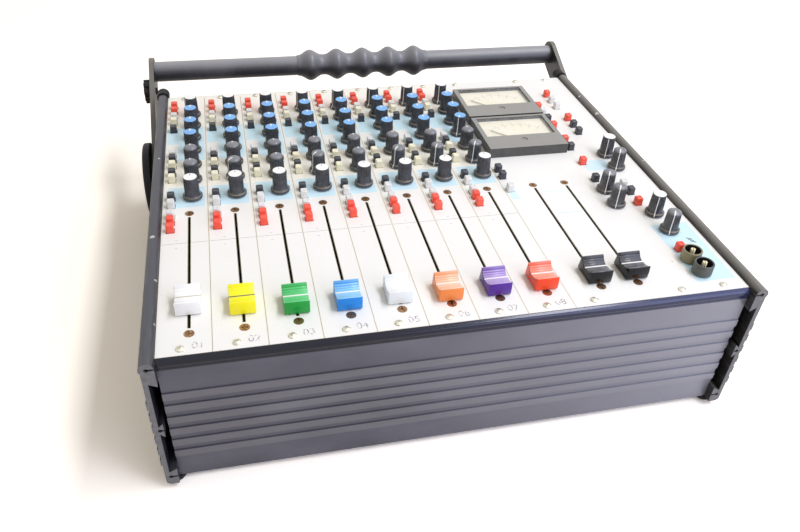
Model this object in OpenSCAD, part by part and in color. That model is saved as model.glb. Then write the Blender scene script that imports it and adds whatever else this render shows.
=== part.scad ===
// Portable eight-channel mixing console with a swinging carry handle.
// X runs across the strips, Y from the operator to the rear and Z up from the feet.
// Most modules draw in the panel frame: X from the left edge of strip 1, Y from the
// front edge of the control panel and Z from its top surface.

/* [Case] */
// Width of one channel strip
strip_w = 30; // [29:0.5:36]
// Width of the master panel
master_w = 116; // [114:1:150]
// Depth of the control panel from front to rear
panel_d = 314; // [312:1:360]
// Thickness of the control panel plates
panel_t = 2; // [1.6:0.2:3]
// Gap between neighbouring panel plates
plate_gap = 0.2; // [0.1:0.05:0.4]
// Height of the case from its base to the top of the control panel
case_h = 97.5; // [92:0.5:130]
// Thickness of the base plate
base_t = 2; // [1.5:0.5:3]
// Wall of the front and rear panels
wall_t = 3; // [2:0.5:4]
// Height of a rubber foot
foot_h = 4; // [3:0.5:12]
// Radius of a rubber foot
foot_r = 5.5; // [5:0.5:9]
// Distance of each foot's axis from the ends of the rails
foot_inset = 9.5; // [9:0.5:30]

/* [Side rails] */
// Width of a side rail
rail_w = 8.2; // [8.2:0.2:12]
// Outer wall of a side rail
rail_wall = 2.8; // [2.4:0.2:4]
// Radius of the round bead along the top of a rail
bead_r = 4.1; // [3.5:0.1:4.1]
// How far the bead stands above the control panel
bead_rise = 3.6; // [3:0.2:6]
// Length of rail in front of the control panel's edge
rail_front = 8; // [6:0.5:12]
// Distance from the rear end of a rail to the rear edge of the panel
rail_rear = 2; // [1:0.5:6]
// Length of the moulded cap on the rear end of a rail
end_cap_len = 13; // [10:0.5:18]

/* [Ribs] */
// Depth of the ribs on the front panel and the rails
rib_depth = 0.8; // [0.4:0.1:1.2]
// Height of one rib
rib_w = 5.4; // [4:0.2:6]
// Spacing of the ribs
rib_pitch = 9.75; // [8.5:0.25:10]
// Distance of the first rib below the control panel
rib_top = 25.2; // [22:0.2:28]

/* [Faders] */
// Travel of a fader
fader_travel = 104; // [90:1:105]
// Distance between the two screws of a fader
fader_screw_span = 118.2; // [118:0.2:122]
// Front fader screw, from the panel's front edge
fader_screw_y = 16.1; // [15.5:0.1:18]
// Slot centre line across a channel strip
slot_x = 17.7; // [16.5:0.1:18]
// Width of the slot in the panel
slot_w = 2; // [1.8:0.1:2.6]
// Width of a fader cap
cap_w = 14.6; // [12:0.2:15.4]
// Length of a fader cap at its base
cap_len = 18; // [16:0.5:20]
// Height of a fader cap
cap_h = 10; // [9.4:0.2:12]

/* [Knobs and buttons] */
// Skirt radius of a knob
skirt_r = 6.7; // [6:0.1:7]
// Height of a knob above the panel
knob_h = 17; // [15:0.5:19]
// Radius of a knob's body at the top
knob_top_r = 4.7; // [4.2:0.1:5]
// Spindle radius of a potentiometer
spindle_r = 2; // [1.5:0.1:2.4]
// Line of knobs across a channel strip
knob_x = 20.2; // [20:0.1:20.6]
// Line of buttons across a channel strip
button_x = 5.8; // [5.4:0.1:6.4]
// Side of a square button
button_w = 5; // [4.4:0.1:5.2]
// Height of a button above the panel
button_h = 6.5; // [5:0.5:8]
// Travel of a button
button_travel = 2; // [1:0.5:3]

/* [Meters] */
// Width of a meter case
meter_w = 64.5; // [60:0.5:65]
// Depth of a meter case from front to rear
meter_d = 52.5; // [50:0.5:53]
// Height of a meter case above the panel
meter_h = 8; // [7.5:0.5:10]
// Depth of the plain cover in front of the window
meter_cover = 19.5; // [18:0.5:21]

/* [Handle] */
// Distance of the handle's pivot from the rear edge of the panel
pivot_from_rear = 54; // [48:1:70]
// Length of a handle arm from pivot to tube
arm_len = 119; // [112:1:130]
// Angle of the stored handle above the horizontal
handle_angle = 24.5; // [20:0.5:30]
// Width of a handle arm
arm_w = 25; // [22:1:28]
// Thickness of a handle arm
arm_t = 4; // [3:0.5:5]
// Gap between a rail and a handle arm
arm_gap = 4.1; // [2:0.1:5]
// Radius of the handle tube
tube_r = 8.75; // [8:0.25:10]
// Wall of the handle tube
tube_wall = 1.6; // [1.2:0.2:2]
// Radius of the grip over its bulges
grip_r = 14; // [13:0.5:16]
// Spacing of the bulges on the grip
grip_pitch = 25; // [20:1:28]
// Radius of a pivot disc
disc_r = 32; // [28:1:34]
// Thickness of a pivot disc
disc_t = 5.5; // [5:0.5:7]
// Radius of the pivot axle
axle_r = 4; // [3:0.25:4.5]

/* [Hidden] */
$fn = 40;

// Clearances and small shared sizes
run_fit = 0.05;      // radial clearance of a turning fit
slide_fit = 0.3;     // clearance round a sliding piece
over = 1;            // how far a cut runs past a face
channels = 8;        // each strip's fader and level knob are nodes of their own

// The rear deck runs from the faders' rear screws to the panel's rear edge. Rows on it
// are placed by their share of its depth, so that they close up or spread out with it.
deck_y = fader_screw_y + fader_screw_span;
function on_deck(share) = deck_y + share * (panel_d - deck_y);
knob_rows = [for (s = [0.8, 0.691, 0.58, 0.469, 0.349, 0.232]) on_deck(s)];
level_row = on_deck(0.108);
red_rows = [on_deck(0.883), on_deck(0.833), deck_y - 10.3, deck_y - 18.8];
pale_rows = concat(
    [for (s = [0.772, 0.727, 0.432, 0.343, 0.238, 0.054]) on_deck(s)], [deck_y - 3.3]
);
black_rows = [for (s = [0.655, 0.393, 0.282, 0.104]) on_deck(s)];

// Case, in the panel frame
panel_w = channels * strip_w + master_w;
master_x = channels * strip_w;
panel_z = foot_h + case_h;
mid_z = -case_h / 2;
rail_face = rail_w - rib_depth;          // outer face of a rail between its ribs
wall_in = rail_face - rail_wall;         // depth of a rail's pocket
rib_count = 6;
bead_z = bead_rise - bead_r;             // axis of the rail's bead
nose_r = 3.3;                            // rounded nose along the front panel's top
front_face = 2.2;                        // front panel's face, ahead of the panel edge
wall_front = wall_t - front_face;        // inner face of the front panel
shelf_d = 8.7;                           // depth of the shelves in front and rear panels
shelf_h = 10;                            // height of a shelf
rail_block = shelf_h + panel_t + 1.5;    // blocks at a rail's top and bottom
groove_d = 4;                            // depth of the screw groove in a shelf
screw_y = 4.5;                           // screw line, from the panel's front and rear edges
base_screw_in = 3.7;                     // base screws, from the walls' inner faces
corner_in = 6;                           // corner screws, from the panel's front and rear
port_drop = 6.7;                         // corner screw below or above its shelf's seat
rail_corner = 3;                         // radius of a rail's lower outer corner
cap_flare = 1;                           // how far the caps stand proud of the beads
foot_out = 2;                            // feet, outside the panel's side edges

// Screws
m3_core = 1.2;                           // shank radius
m3_tap = 1.25;                           // tapped hole and half a screw groove
m3_clear = 1.5;                          // clearance hole
head_r = 3;                              // countersunk head
head_h = 1.4;                            // depth of a countersink
dome_r = 2.3;                            // round head

// Master controls, across from the master panel's left edge. Along the panel, those on
// the deck are placed by their share of it and the others from the panel's front edge.
function deck_spots(spots) = [for (p = spots) [p[0], on_deck(p[1])]];
master_slots = [23.3, 48.1];
master_knobs = concat(
    deck_spots([[97.2, 0.19], [97.1, 0.08]]),
    [[74.3, 119.2], [73.6, 100.3], [95.7, 85.2], [95.9, 64.3]]
);
collars = [[93, 32], [93.2, 18.2]];
red_spots = concat(
    deck_spots([[90, 0.791], [73, 0.666], [91, 0.533], [73, 0.467], [73, 0.33], [73.4, 0.136]]),
    [[90, 99], [91.5, 43]]
);
pale_spots = concat(
    deck_spots([[90, 0.726], [90, 0.657], [73, 0.603]]),
    [[90, 122.7], [3.8, 129.9]]
);
black_spots = concat(
    deck_spots([
        [73, 0.538], [91, 0.466], [90.4, 0.397], [73, 0.264], [3.8, 0.129], [3.8, 0.074]
    ]),
    [[72.5, 133.6], [91, 113]]
);
master_screw_x = [13.5, 72, 100.7];
meter_x = 3.5;
meter_gap = 2.5;                         // gap between the two meters
// Front edges of the rear and the front meter
meter_fronts = [on_deck(0.541), on_deck(0.541) - meter_d - meter_gap];

// Faders
blade_w = 1.2;
blade_l = 5;
slot_y = fader_screw_y + fader_screw_span / 2 - (fader_travel + blade_l) / 2;
slot_l = fader_travel + blade_l + 2 * slide_fit;
stop_y = slot_y + blade_l / 2;           // blade centre at the front stop
track_w = 13;
track_h = 24;
track_end = 6;                           // track beyond each screw
track_top = 2.5;
rod_r = 1;
rod_side = 2.6;                          // guide rods, from the slot's centre line
rod_drop = 12;                           // guide rods below the panel's top
carriage = [9, 12, 8];
cap_lift = 0.7;                          // gap under a cap
// How far each fader is pushed up from its front stop
fader_rest = [16.4, 12, 7.2, 5.4, 6, 3.6, 3.5, 3.5];
master_rest = [4, 4];
cap_tints = [
    "#f2f2f0", "#f2dc12", "#1f9b45", "#2f8fdc", "#e6e9e8", "#f0843a", "#5a2d86", "#f0502a"
];

// Knobs, pots and switches
knob_gap = 0.8;                          // gap under a knob's skirt
skirt_h = 2.4;
neck_r = 5.9;                            // foot of the neck, on the skirt
neck_h = 2.6;
body_r = knob_top_r + 0.4;               // knob's body above its neck
flute_count = 16;
flute_depth = 0.35;                      // depth of a flute at the top
pot_w = 10;
pot_h = 12;
bush_r = 3.4;
pot_hole_r = 3.5;
spindle_reach = panel_t + 8;             // spindle below the panel's top
flat_rows = 4;                           // rear rows of flat caps, with domed ones before them
collar_r = 6.3;
collar_h = 8;
collar_wall = 1.3;
switch_w = 6.4;
button_depth = 5;                        // button below the panel's top
hole_w = button_w + 2 * slide_fit;
well_d = button_depth - panel_t + button_travel + 1;
board_t = 1.6;

// Meters
meter_wall = 2;                          // walls round a meter case
meter_side = 3.6;                        // frame beside the window
meter_back = 2.6;                        // frame behind the window
meter_floor = meter_h - 3.5;             // seat of the dial, above the panel
dial_t = 0.5;
pane_t = 1;
pane_sink = 0.3;                         // pane below the top of the case
pane_z = meter_h - pane_t - pane_sink;
barrel_at = [6, 4];                      // corner of the movement's housing
barrel_back = 18.5;                      // from the housing to the meter's rear edge
barrel = [meter_w - 2 * barrel_at[0], meter_d - barrel_at[1] - barrel_back];
barrel_drop = 12;
pivot_in = 12;                           // needle's pivot behind the meter's front edge
staff_r = 0.8;
staff_d = 5.5;                           // staff below the panel's top
needle_z = meter_floor + dial_t + 0.7;
needle_len = 34;
needle_swing = 45;

// Handle
pivot_y = panel_d - pivot_from_rear;
bar_y = pivot_y + arm_len * cos(handle_angle);
bar_z = mid_z + arm_len * sin(handle_angle);
arm_in = rail_w + arm_gap;               // arm's inner face, from the panel's side edge
boss_r = 14;
clamp_from_tube = 22.4;
clamp_r = 8.3;
clamp_stud_r = 3;
grip_bulges = 5;
grip_valley = tube_r + 0.6;
spigot_len = 12;

// The console's origin is under the middle of its outline, at the feet's undersides
origin_y = (bar_y + grip_r - rail_front) / 2;

// Rear connectors
socket_step = 32;                        // spacing of the plugs beside the inputs
flange = [26, 31, 2];
barrel_r = 11.5;
barrel_l = 20;
bore_r = 8;
pin_r = 1.2;
pin_ring = 4.2;
flange_hole = [9.5, 12];                 // flange screws, from the connector's axis
// Inputs behind their strips, then two outputs and the power inlet behind the master panel
input_x = [for (i = [1 : channels]) strip_at(i) + strip_w / 2];
plug_x = [for (i = [0 : 2]) master_x + master_w / 2 + (i - 1) * socket_step];

module on_panel() {
    translate([-panel_w / 2, -origin_y, panel_z]) children();
}

// Runs a profile drawn as [Y, Z] along X
module along_x(length) {
    rotate([90, 0, 90]) linear_extrude(length) children();
}

// Runs a profile drawn as [X, Z] along Y from y0
module along_y(y0, length) {
    translate([0, y0 + length, 0]) rotate([90, 0, 0]) linear_extrude(length) children();
}

// A bar with its axis along X, starting at the origin
module rod_x(r, length) {
    rotate([0, 90, 0]) cylinder(r = r, h = length);
}

// Places children on the left side and mirrored on the right side of the console
module both_sides() {
    children();
    translate([panel_w, 0, 0]) mirror([1, 0, 0]) children();
}

function strip_at(i) = (i - 1) * strip_w;

// ---------- case ----------

// Wall of a side rail in section: X runs outwards from its inner face, Y up from the
// panel's top. The front and rear panels screw to the blocks at its top and bottom.
module rail_wall() {
    root = rail_block - 2.5;
    boss = 5.5;
    boss_root = 3;
    boss_in = 2;
    low = -case_h;
    polygon([
        [0, bead_z], [rail_face, bead_z], [rail_face, low + rail_corner],
        [rail_face - rail_corner, low], [0, low], [0, low + rail_block],
        [wall_in, low + root], [wall_in, mid_z - boss_root],
        [boss_in, mid_z - boss], [boss_in, mid_z + boss],
        [wall_in, mid_z + boss_root], [wall_in, -root], [0, -rail_block]
    ]);
}

module rail_ribs() {
    for (i = [0 : rib_count - 1])
        translate([rail_face - over, -rib_top - i * rib_pitch - rib_w])
            square([rib_depth + over, rib_w]);
}

// Screw grooves of a side rail, each a round bore with a slit to the inner face
module rail_grooves() {
    slit = 1.4;
    for (z = [bead_z, mid_z, -case_h + rail_block / 2]) {
        translate([rail_w / 2, z]) circle(m3_tap);
        translate([-over, z - slit / 2]) square([rail_w / 2 + over, slit]);
    }
}

module side_rail() {
    length = rail_front + panel_d - rail_rear;
    difference() {
        mirror([1, 0, 0]) union() {
            along_y(-rail_front, length) rail_wall();
            along_y(-rail_front, length) translate([rail_w - bead_r, bead_z]) circle(bead_r);
            along_y(-rail_front, length)
                translate([rail_face - rail_corner, -case_h + rail_corner])
                    circle(rail_corner);
            along_y(-rail_front, length) rail_ribs();
        }
        mirror([1, 0, 0]) along_y(-rail_front - over, length + 2 * over) rail_grooves();
        translate([-rail_w - over, pivot_y, mid_z])
            rod_x(axle_r + run_fit, rail_w + 2 * over);
        corner_places() translate([-rail_face, 0, 0]) rotate([0, -90, 0])
            sunk_hole(rail_face);
    }
}

// Clearance hole with a countersink, its mouth up at Z = 0
module sunk_hole(depth) {
    mouth_r = head_r + run_fit;
    rotate_extrude() polygon([
        [0, over], [mouth_r, over], [mouth_r, 0], [m3_clear, -head_h],
        [m3_clear, -depth - over], [0, -depth - over]
    ]);
}

// The four corner screws of one side
module corner_places() {
    for (y = [corner_in, panel_d - corner_in])
        for (z = [-panel_t - port_drop, -case_h + base_t + port_drop])
            translate([0, y, z]) children();
}

module left_side_rail() {
    color("#2b2c30") on_panel() side_rail();
}

module right_side_rail() {
    color("#2b2c30") on_panel() translate([panel_w, 0, 0]) mirror([1, 0, 0]) side_rail();
}

// Moulded cap that closes the rear end of a rail, with a round-ended collar on the bead
module rail_end_caps() {
    plate = 5;
    edge = 2;
    cap_r = bead_r + cap_flare;
    collar_at = rail_rear + 0.5;
    y0 = panel_d - rail_rear;
    color("#1b1b1d") on_panel() both_sides() {
        mirror([1, 0, 0]) along_y(y0, plate) {
            translate([rail_w - bead_r, bead_z]) circle(bead_r);
            translate([rail_face - rail_corner, -case_h + rail_corner]) circle(rail_corner);
            translate([0, -case_h + rail_corner])
                square([rail_face, case_h - rail_corner + bead_z]);
            translate([0, -case_h]) square([rail_face - rail_corner, rail_corner + over]);
        }
        translate([-rail_w + bead_r, y0 + collar_at, bead_z]) rotate([-90, 0, 0])
            rotate_extrude() {
                square([cap_r - edge, end_cap_len - collar_at]);
                square([cap_r, end_cap_len - collar_at - edge]);
                translate([cap_r - edge, end_cap_len - collar_at - edge]) circle(edge);
            }
    }
}

// Shelves inside a panel, which carry the control panel and the base plate
module shelf_sections() {
    for (z = [-panel_t - shelf_h, -case_h + base_t])
        translate([wall_front, z]) square([shelf_d, shelf_h]);
}

// Screw grooves, open at each shelf's seat: base_y is the base screws' line
module groove_sections(base_y) {
    translate([screw_y - m3_tap, -panel_t - groove_d])
        square([2 * m3_tap, groove_d + over]);
    translate([base_y - m3_tap, -case_h + base_t - over])
        square([2 * m3_tap, groove_d + over]);
}

module front_panel() {
    color("#45464d") on_panel() difference() {
        along_x(panel_w) {
            difference() {
                union() {
                    translate([nose_r - front_face - rib_depth, -nose_r - 0.3])
                        circle(nose_r);
                    translate([-front_face, -case_h]) square([wall_t, case_h - nose_r]);
                }
                translate([0, -panel_t]) square([2 * nose_r, panel_t + over]);
            }
            shelf_sections();
            for (i = [0 : rib_count - 1])
                translate([-front_face - rib_depth, -rib_top - i * rib_pitch - rib_w])
                    square([rib_depth + over, rib_w]);
        }
        translate([-over, 0, 0]) along_x(panel_w + 2 * over)
            groove_sections(wall_front + base_screw_in);
        corner_taps(corner_in);
    }
}

// Tapped ends of the shelves for the corner screws of both sides
module corner_taps(y) {
    depth = 14;
    for (x = [-over, panel_w - depth])
        for (z = [-panel_t - port_drop, -case_h + base_t + port_drop])
            translate([x, y, z]) rod_x(m3_tap, depth + over);
}

module rear_panel() {
    color("#26272b") on_panel() difference() {
        translate([0, panel_d, 0]) mirror([0, 1, 0]) along_x(panel_w) {
            translate([0, -case_h]) square([wall_t, case_h - panel_t]);
            shelf_sections();
        }
        translate([-over, panel_d, 0]) mirror([0, 1, 0]) along_x(panel_w + 2 * over)
            groove_sections(wall_t + base_screw_in);
        corner_taps(panel_d - corner_in);
        connector_places()
            translate([0, -wall_t - over, 0]) rotate([-90, 0, 0])
                cylinder(r = barrel_r + slide_fit, h = wall_t + 2 * over);
        connector_places() flange_holes() translate([0, over, 0]) rotate([90, 0, 0])
            cylinder(r = m3_tap, h = wall_t + 2 * over);
    }
}

module base_plate() {
    color("#3a3b40") on_panel() difference() {
        translate([0, wall_front, -case_h])
            cube([panel_w, panel_d - wall_t - wall_front, base_t]);
        base_screw_places() mirror([0, 0, 1]) sunk_hole(base_t);
    }
}

module base_screw_places() {
    for (x = [30, panel_w / 3, 2 * panel_w / 3, panel_w - 30])
        for (y = [wall_front + base_screw_in, panel_d - wall_t - base_screw_in])
            translate([x, y, -case_h]) children();
}

module rubber_feet() {
    bevel = 1;
    color("#161616") on_panel()
        for (x = [-foot_out, panel_w + foot_out])
            for (y = [foot_inset - rail_front, panel_d - rail_rear - foot_inset])
                translate([x, y, -case_h - foot_h]) rotate_extrude()
                    polygon([
                        [0, 0], [foot_r - bevel, 0], [foot_r, bevel], [foot_r, foot_h], [0, foot_h]
                    ]);
}

// ---------- control panel ----------

module fader_cuts() {
    translate([-slot_w / 2, slot_y - slide_fit, -panel_t - over])
        cube([slot_w, slot_l, panel_t + 2 * over]);
    fader_screw_places() sunk_hole(panel_t);
}

module fader_screw_places() {
    for (y = [fader_screw_y, fader_screw_y + fader_screw_span])
        translate([0, y, 0]) children();
}

// Round hole and square hole through a plate
module pot_cut() {
    translate([0, 0, -panel_t - over]) cylinder(r = pot_hole_r, h = panel_t + 2 * over);
}

module button_cut() {
    translate([-hole_w / 2, -hole_w / 2, -panel_t - over])
        cube([hole_w, hole_w, panel_t + 2 * over]);
}

module plate_screw_cut() {
    translate([0, 0, -panel_t - over]) cylinder(r = m3_clear, h = panel_t + 2 * over);
}

module strip_screw_places() {
    for (y = [screw_y, panel_d - screw_y]) translate([knob_x - 7, y, 0]) children();
}

module channel_plates() {
    color("#e9e8e2") on_panel()
        for (i = [1 : channels]) translate([strip_at(i), 0, 0]) difference() {
            translate([plate_gap / 2, 0, -panel_t])
                cube([strip_w - plate_gap, panel_d, panel_t]);
            translate([slot_x, 0, 0]) fader_cuts();
            strip_screw_places() plate_screw_cut();
            for (y = concat(knob_rows, [level_row])) translate([knob_x, y, 0]) pot_cut();
            for (y = concat(red_rows, pale_rows, black_rows))
                translate([button_x, y, 0]) button_cut();
        }
}

module master_plate() {
    color("#e9e8e2") on_panel() translate([master_x, 0, 0]) difference() {
        translate([plate_gap / 2, 0, -panel_t])
            cube([master_w - plate_gap / 2, panel_d, panel_t]);
        for (x = master_slots) translate([x, 0, 0]) fader_cuts();
        master_screw_places() plate_screw_cut();
        for (p = concat(master_knobs, collars)) translate(p) pot_cut();
        for (p = concat(red_spots, pale_spots, black_spots)) translate(p) button_cut();
        for (y = meter_fronts) translate([meter_x, y, 0]) meter_cut();
    }
}

module master_screw_places() {
    for (x = master_screw_x) for (y = [screw_y, panel_d - screw_y])
        translate([x, y, 0]) children();
}

// Every fader track, from its slot's centre line
module fader_places() {
    for (i = [1 : channels]) translate([strip_at(i) + slot_x, 0, 0]) children();
    for (x = master_slots) translate([master_x + x, 0, 0]) children();
}

module fader_tracks() {
    y0 = fader_screw_y - track_end;
    length = fader_screw_span + 2 * track_end;
    wall = 1;
    color("#8d9094") on_panel() fader_places() translate([0, 0, -panel_t]) {
        difference() {
            translate([-track_w / 2, y0, -track_h]) cube([track_w, length, track_h]);
            translate([-track_w / 2 + wall, y0 + wall, -track_h + wall])
                cube([track_w - 2 * wall, length - 2 * wall, track_h - wall - track_top]);
            translate([-slot_w / 2, slot_y - slide_fit, -track_top - over])
                cube([slot_w, slot_l, track_top + 2 * over]);
            fader_screw_places() translate([0, 0, -track_top - over])
                cylinder(r = m3_tap, h = track_top + 2 * over);
        }
        for (x = [-rod_side, rod_side])
            translate([x, y0 + wall / 2, panel_t - rod_drop]) rotate([-90, 0, 0])
                cylinder(r = rod_r, h = length - wall);
    }
}

// Side view of a fader cap as [Y, Z]: two lips, a saddle between them and finger ridges
// on the rear half of the saddle
module cap_section() {
    half = cap_len / 2;
    lip = half - 2.6;
    lip_r = 0.8;
    sag = 3.8;                           // depth of the saddle below the lips
    saddle_r = (pow(lip - 0.2, 2) + sag * sag) / (2 * sag);
    saddle_z = cap_h - sag;
    ridge = 0.3;
    difference() {
        union() {
            polygon([
                [-half, 0], [-half - 0.3, cap_h * 0.45], [-lip - lip_r, cap_h - lip_r],
                [-lip, cap_h], [lip, cap_h], [lip + lip_r, cap_h - lip_r], [half, 0]
            ]);
            for (y = [-lip, lip]) translate([y, cap_h - lip_r]) circle(lip_r);
        }
        translate([0, saddle_z + saddle_r]) circle(saddle_r);
        for (y = [1.5 : 1.2 : lip - 1])
            translate([y, saddle_z + saddle_r - sqrt(saddle_r * saddle_r - y * y)])
                circle(ridge);
    }
}

// A fader: hollow cap, blade and the carriage that slides on the track's rods
module fader(x, rest, tint) {
    wall = 1.5;
    color(tint) on_panel() translate([x, stop_y + rest, 0]) {
        translate([-cap_w / 2, 0, cap_lift]) difference() {
            along_x(cap_w) cap_section();
            translate([wall, -cap_len / 2 + wall, -over])
                cube([cap_w - 2 * wall, cap_len - 2 * wall, over + 3.5]);
        }
        translate([-blade_w / 2, -blade_l / 2, -rod_drop])
            cube([blade_w, blade_l, rod_drop + cap_lift + 4]);
        difference() {
            translate([-carriage[0] / 2, -carriage[1] / 2, -rod_drop - carriage[2] / 2])
                cube(carriage);
            for (side = [-1, 1])
                translate([side * rod_side, -carriage[1] / 2 - over, -rod_drop])
                    rotate([-90, 0, 0])
                        cylinder(r = rod_r + run_fit, h = carriage[1] + 2 * over);
        }
    }
}

// Outline of a knob as [radius, Z]: skirt, swept neck, tapered body and a bevelled top,
// which is wider on a domed knob
module knob_outline(domed) {
    rim = 0.5;
    skirt_top = knob_gap + skirt_h;
    fall = domed ? 1.6 : 0.3;
    polygon([
        [0, knob_gap], [skirt_r, knob_gap], [skirt_r, skirt_top - rim],
        [skirt_r - rim, skirt_top], [neck_r, skirt_top], [body_r, skirt_top + neck_h],
        [knob_top_r, knob_h - fall], [knob_top_r - fall, knob_h], [0, knob_h]
    ]);
}

// A knob with its potentiometer's spindle, standing on the panel: V-shaped flutes start
// above the neck and run out at the top
module knob(domed, reach) {
    difference() {
        rotate_extrude() knob_outline(domed);
        for (a = [0 : flute_count - 1]) rotate([0, 0, (a + 0.5) * 360 / flute_count])
            translate([knob_top_r - flute_depth, 0, knob_gap + skirt_h + neck_h + 0.3])
                rotate([0, 0, -45]) cube([2, 2, knob_h]);
    }
    translate([0, 0, -reach]) cylinder(r = spindle_r, h = reach + knob_gap + 1);
}

module turning_knob(p, domed) {
    color("#1c1d20") on_panel() translate(p) knob(domed, spindle_reach - run_fit);
}

module channel_knobs() {
    color("#1c1d20") on_panel() for (i = [1 : channels]) translate([strip_at(i), 0, 0])
        for (r = [0 : len(knob_rows) - 1])
            translate([knob_x, knob_rows[r], 0]) knob(r >= flat_rows, spindle_reach);
}

// Outer ring of a two-part control, open at the top, round its inner spindle
module collar_knob(p) {
    color("#3c3d34") on_panel() translate(p) {
        difference() {
            translate([0, 0, knob_gap]) cylinder(r = collar_r, h = collar_h);
            translate([0, 0, knob_gap + 2])
                cylinder(r = collar_r - collar_wall, h = collar_h);
        }
        translate([0, 0, -spindle_reach + run_fit])
            cylinder(r = spindle_r, h = spindle_reach + collar_h + 0.5);
    }
}

module pot() {
    difference() {
        union() {
            translate([-pot_w / 2, -pot_w / 2, -panel_t - pot_h])
                cube([pot_w, pot_w, pot_h]);
            translate([0, 0, -panel_t - over]) cylinder(r = bush_r, h = panel_t + over);
        }
        translate([0, 0, -spindle_reach])
            cylinder(r = spindle_r + run_fit, h = spindle_reach + over);
    }
}

module potentiometers() {
    color("#3d6b4a") on_panel() {
        for (i = [1 : channels]) for (y = concat(knob_rows, [level_row]))
            translate([strip_at(i) + knob_x, y, 0]) pot();
        for (p = concat(master_knobs, collars)) translate([master_x, 0, 0]) translate(p) pot();
    }
}

// A square cap with bevelled upper edges, reaching down into its switch
module button() {
    bevel = 0.5;
    half = button_w / 2;
    intersection() {
        translate([-half, -half, -button_depth])
            cube([button_w, button_w, button_depth + button_h]);
        translate([-half - over, 0, 0]) along_x(button_w + 2 * over) bevel_section(half, bevel);
        along_y(-half - over, button_w + 2 * over) bevel_section(half, bevel);
    }
}

module bevel_section(half, bevel) {
    polygon([
        [-half, -button_depth], [half, -button_depth], [half, button_h - bevel],
        [half - bevel, button_h], [bevel - half, button_h], [-half, button_h - bevel]
    ]);
}

// Buttons of one colour: the same rows on every strip, and spots on the master panel
module button_places(rows, spots) {
    for (i = [1 : channels]) for (y = rows)
        translate([strip_at(i) + button_x, y, 0]) children();
    for (p = spots) translate([master_x + p[0], p[1], 0]) children();
}

module red_buttons() {
    color("#d8352c") on_panel() button_places(red_rows, red_spots) button();
}

module pale_buttons() {
    color("#d9d6c6") on_panel() button_places(pale_rows, pale_spots) button();
}

module black_buttons() {
    color("#26272b") on_panel() button_places(black_rows, black_spots) button();
}

module push_switches() {
    color("#5a5c60") on_panel()
        button_places(
            concat(red_rows, pale_rows, black_rows),
            concat(red_spots, pale_spots, black_spots)
        )
            translate([0, 0, -panel_t]) difference() {
                translate([-switch_w / 2, -switch_w / 2, -pot_h])
                    cube([switch_w, switch_w, pot_h]);
                translate([-hole_w / 2, -hole_w / 2, -well_d])
                    cube([hole_w, hole_w, well_d + over]);
            }
}

// Upright board beside each row of pots, a flat one under the master controls and a bus
// board on pillars under them all
module circuit_boards() {
    board_x = knob_x + pot_w / 2;
    board_y = level_row - pot_w / 2 - 4;
    board_l = knob_rows[0] + pot_w / 2 + 4 - board_y;
    bus_gap = 10;
    bus_z = -case_h + base_t + bus_gap;
    board_top = -panel_t - 1;
    spine_in = 20;
    flat_z = -panel_t - pot_h - board_t;
    flat_x = 65;
    color("#2f6b3c") on_panel() {
        for (i = [1 : channels])
            translate([strip_at(i) + board_x, board_y, bus_z])
                cube([board_t, board_l, board_top - bus_z]);
        translate([master_x + flat_x, 12, flat_z])
            cube([master_w - flat_x - 3, knob_rows[0] + 8, board_t]);
        translate([master_x + board_t, board_y, flat_z])
            cube([flat_x, knob_rows[0] + 20 - board_y, board_t]);
        translate([4, board_y, bus_z - board_t]) cube([panel_w - 8, board_l, board_t]);
        for (x = [12, panel_w / 2, panel_w - 12]) for (y = [board_y + 8, board_y + board_l - 8])
            translate([x, y, -case_h + base_t]) cylinder(r = 3, h = bus_gap - board_t);
        translate([master_x + flat_x + 10, board_y + spine_in, bus_z])
            cube([board_t, board_l - 2 * spine_in, flat_z - bus_z]);
    }
}

// ---------- meters ----------

module meter_cut() {
    translate([barrel_at[0] - slide_fit, barrel_at[1] - slide_fit, -panel_t - over])
        cube([barrel[0] + 2 * slide_fit, barrel[1] + 2 * slide_fit, panel_t + 2 * over]);
}

// Window as seen from above, in the meter's own frame
module window_outline(grow) {
    translate([meter_side - grow, meter_cover - grow])
        square([
            meter_w - 2 * meter_side + 2 * grow,
            meter_d - meter_cover - meter_back + 2 * grow
        ]);
}

module meter_places() {
    for (y = meter_fronts) translate([master_x + meter_x, y, 0]) children();
}

module meter_cases() {
    rebate = 0.8;
    adjuster_d = 0.5;                    // recess of the zero adjuster
    color("#232426") on_panel() meter_places() difference() {
        union() {
            cube([meter_w, meter_d, meter_h]);
            translate([barrel_at[0], barrel_at[1], -barrel_drop - panel_t])
                cube([barrel[0], barrel[1], barrel_drop + panel_t + over]);
        }
        translate([meter_wall, meter_wall, meter_floor])
            cube([meter_w - 2 * meter_wall, meter_d - 2 * meter_wall, pane_z - meter_floor]);
        translate([0, 0, pane_z - over])
            linear_extrude(meter_h - pane_z + 2 * over) window_outline(0);
        translate([0, 0, pane_z - over]) linear_extrude(pane_t + over) window_outline(rebate);
        translate([meter_w / 2, pivot_in, -staff_d - slide_fit])
            cylinder(r = staff_r + run_fit, h = staff_d + slide_fit + meter_floor + over);
        translate([meter_w / 2, pivot_in, meter_h - adjuster_d])
            cylinder(r = 2.5, h = adjuster_d + over);
    }
}

module meter_windows() {
    color("#dfe8ea", 0.4) on_panel() meter_places()
        translate([0, 0, pane_z]) linear_extrude(pane_t) window_outline(0.7);
}

module meter_dials() {
    margin = 0.4;
    color("#efe6c8") on_panel() meter_places() difference() {
        translate([meter_wall + margin, meter_wall + margin, meter_floor])
            cube([
                meter_w - 2 * meter_wall - 2 * margin,
                meter_d - 2 * meter_wall - 2 * margin,
                dial_t
            ]);
        translate([meter_w / 2, pivot_in, meter_floor - over])
            cylinder(r = 3, h = dial_t + 2 * over);
    }
}

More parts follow.
